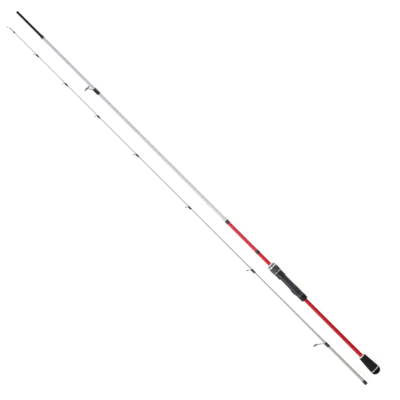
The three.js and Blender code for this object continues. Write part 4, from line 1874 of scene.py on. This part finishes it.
@dataclass(frozen=True)
class TipSection:
    """The tip section: blank, socket wrap, seven guides and the tip-top."""

    axis: Axis = field(default_factory=lambda: section_axis("tip_blank", "guide_1_ring"))
    small_guides: tuple[str, ...] = ("guide_3", "guide_4", "guide_5", "guide_6", "guide_7")

    def build(self, shop: Workshop) -> None:
        """Makes the section's pieces in order.

        Args:
            shop: The workshop that makes the pieces.
        """
        blank = TipBlank(self.axis)
        taper = blank.taper()
        blank.build(shop)
        start, end = span("socket_wrap")
        trim = Stripe(start + 0.58 * (end - start), end + MM, GLINTED_MAROON)
        Band("socket_wrap", self.axis, taper).build(shop, Thread("socket_thread", GLINTED_BLACK_THREAD, trim))
        for guide in self.guides(taper):
            guide.build(shop)

    def guides(self, taper: Taper) -> list[Guide]:
        """The seven guides and the tip-top, from the socket to the tip.

        Args:
            taper: The blank's outside.

        Returns:
            The guides, in order.
        """
        first = Guide(
            "guide_1", self.axis, taper, lean=19, spread=32, radius=6.1 * MM, hoop=0.9 * MM,
            width=1.6 * MM, leg=0.6 * MM, foot=(2.4 * MM, 0.6 * MM), thickness=0.45 * MM,
            trim=3 * MM, ring=1.1 * MM)
        second = Guide(
            "guide_2", self.axis, taper, lean=30, spread=60, radius=3.6 * MM, hoop=0.65 * MM,
            width=1.2 * MM, leg=0.45 * MM, foot=(2 * MM, 0.8 * MM), thickness=0.6 * MM,
            trim=2.8 * MM, ring=0.75 * MM)
        small = dict(
            radius=3.1 * MM, hoop=0.55 * MM, width=1.1 * MM, leg=0.4 * MM, foot=(1.6 * MM, 0.8 * MM),
            ring=0.7 * MM)
        others = [
            Guide(name, self.axis, taper, lean=36, spread=65, thickness=0.7 * MM, trim=2.4 * MM, **small)
            for name in self.small_guides]
        last = TipTop(
            "tip_top", self.axis, taper, lean=50, spread=70, thickness=0.8 * MM, trim=0.8 * MM,
            steel=TIP_STEEL, **small)
        return [first, second, *others, last]


@dataclass(frozen=True)
class SoftBox:
    """A square area light."""

    name: str
    place: tuple[float, float, float]
    size: float
    power: float
    colour: tuple[float, float, float]

    def build(self, target: Vector) -> None:
        """Hangs the light so that it faces a point.

        Args:
            target: The point that the light faces.
        """
        data = bpy.data.lights.new(self.name, "AREA")
        data.size, data.energy, data.color = self.size, self.power, self.colour
        light = bpy.data.objects.new(self.name, data)
        light.location = self.place
        light.rotation_euler = (target - Vector(self.place)).to_track_quat("-Z", "Y").to_euler()
        bpy.context.scene.collection.objects.link(light)


@dataclass(frozen=True)
class Studio:
    """A pale floor under soft light, and a camera straight above with the rod on a diagonal.

    Attributes:
        centre: The point that the camera is over, along the rod and across from the butt
            section's axis.
        roll: How far the camera is turned about its own line of sight, in degrees.
        view_width: How much of the floor's width the view takes in.
        lens, sensor: The camera's focal length and the width of its picture, in millimetres.
        sight: How far the camera sees.
        floor_size, floor_cells: The floor's width, and how many faces it is divided into.
        floor_drop: How far the floor lies under the lowest piece.
        tone, mottle: The floor's two levels of grey.
        glow: The light that the floor gives back of its own.
        world: The strength of the light from all round.
    """

    centre: tuple[float, float] = (-17.6 * MM, 9.4 * MM)
    roll: float = -0.045
    view_width: float = 0.9756
    lens: float = 110.0
    sensor: float = 36.0
    sight: float = 100.0
    floor_size: float = 110.0
    floor_cells: int = 8
    floor_drop: float = 0.05 * MM
    tone: float = 0.16
    mottle: float = 0.15
    glow: float = 0.91
    world: float = 0.28
    lights: tuple[SoftBox, ...] = (
        SoftBox("key", (-0.4, 2.6, 2.6), 1.8, 85.0, (0.95, 0.95, 1.0)),
        SoftBox("fill", (0.5, -2.8, 2.4), 1.8, 44.0, (1.0, 0.95, 0.89)),
    )

    def build(self, axis: Axis) -> None:
        """Makes the floor, the lights, the world and the camera.

        Args:
            axis: The butt section's axis.
        """
        self.make_floor()
        target = Vector((self.centre[0], axis.y + self.centre[1], axis.z))
        for light in self.lights:
            light.build(target)
        self.make_camera(target)
        world = bpy.data.worlds.new("studio")
        world.use_nodes = True
        background = world.node_tree.nodes["Background"]
        background.inputs["Color"].default_value = grey(1)
        background.inputs["Strength"].default_value = self.world
        bpy.context.scene.world = world
        bpy.context.scene.view_settings.view_transform = "Standard"

    def make_floor(self) -> None:
        """The floor: a grid of points at the height of the lowest piece."""
        half, cells, row = self.floor_size / 2, self.floor_cells, self.floor_cells + 1
        edge = np.linspace(-half, half, row)
        x, y = np.meshgrid(edge, edge, indexing="ij")
        height = CAD_BOUNDS[0][2] - self.floor_drop
        points = np.stack([x, y, 0 * x + height], axis=-1).reshape(-1, 3)
        corner = (np.arange(cells)[:, None] * row + np.arange(cells)).reshape(-1, 1)
        faces = corner + np.array([0, row, row + 1, 1])
        mesh = bpy.data.meshes.new("floor")
        mesh.from_pydata(points.tolist(), [], faces.tolist())
        floor = bpy.data.objects.new("floor", mesh)
        bpy.context.scene.collection.objects.link(floor)
        backdrop = Backdrop("pale_floor", grey(self.tone), grey(self.mottle), self.glow)
        mesh.materials.append(backdrop.material())

    def make_camera(self, target: Vector) -> None:
        """A long lens straight above the target, turned so that the rod runs corner to corner.

        Args:
            target: The point that the camera faces.
        """
        data = bpy.data.cameras.new("camera")
        data.lens, data.sensor_width = self.lens, self.sensor
        data.clip_end = self.sight
        camera = bpy.data.objects.new("camera", data)
        right, up = Vector((-1, -1, 0)).normalized(), Vector((1, -1, 0)).normalized()
        diagonal = Matrix((right, up, Vector((0, 0, 1)))).transposed()
        turn = Matrix.Rotation(math.radians(self.roll), 3, "Z") @ diagonal
        distance = self.view_width * self.lens / self.sensor
        camera.matrix_world = Matrix.Translation(target + Vector((0, 0, distance))) @ turn.to_4x4()
        bpy.context.scene.collection.objects.link(camera)
        bpy.context.scene.camera = camera


def main() -> None:
    """Builds the sections and the studio in order."""
    logging.basicConfig(level=logging.INFO, format="%(message)s")
    shop = Workshop(frame["record"])
    butt = ButtSection()
    butt.build(shop)
    TipSection().build(shop)
    Studio().build(butt.axis)


if __name__ == "__main__":
    main()
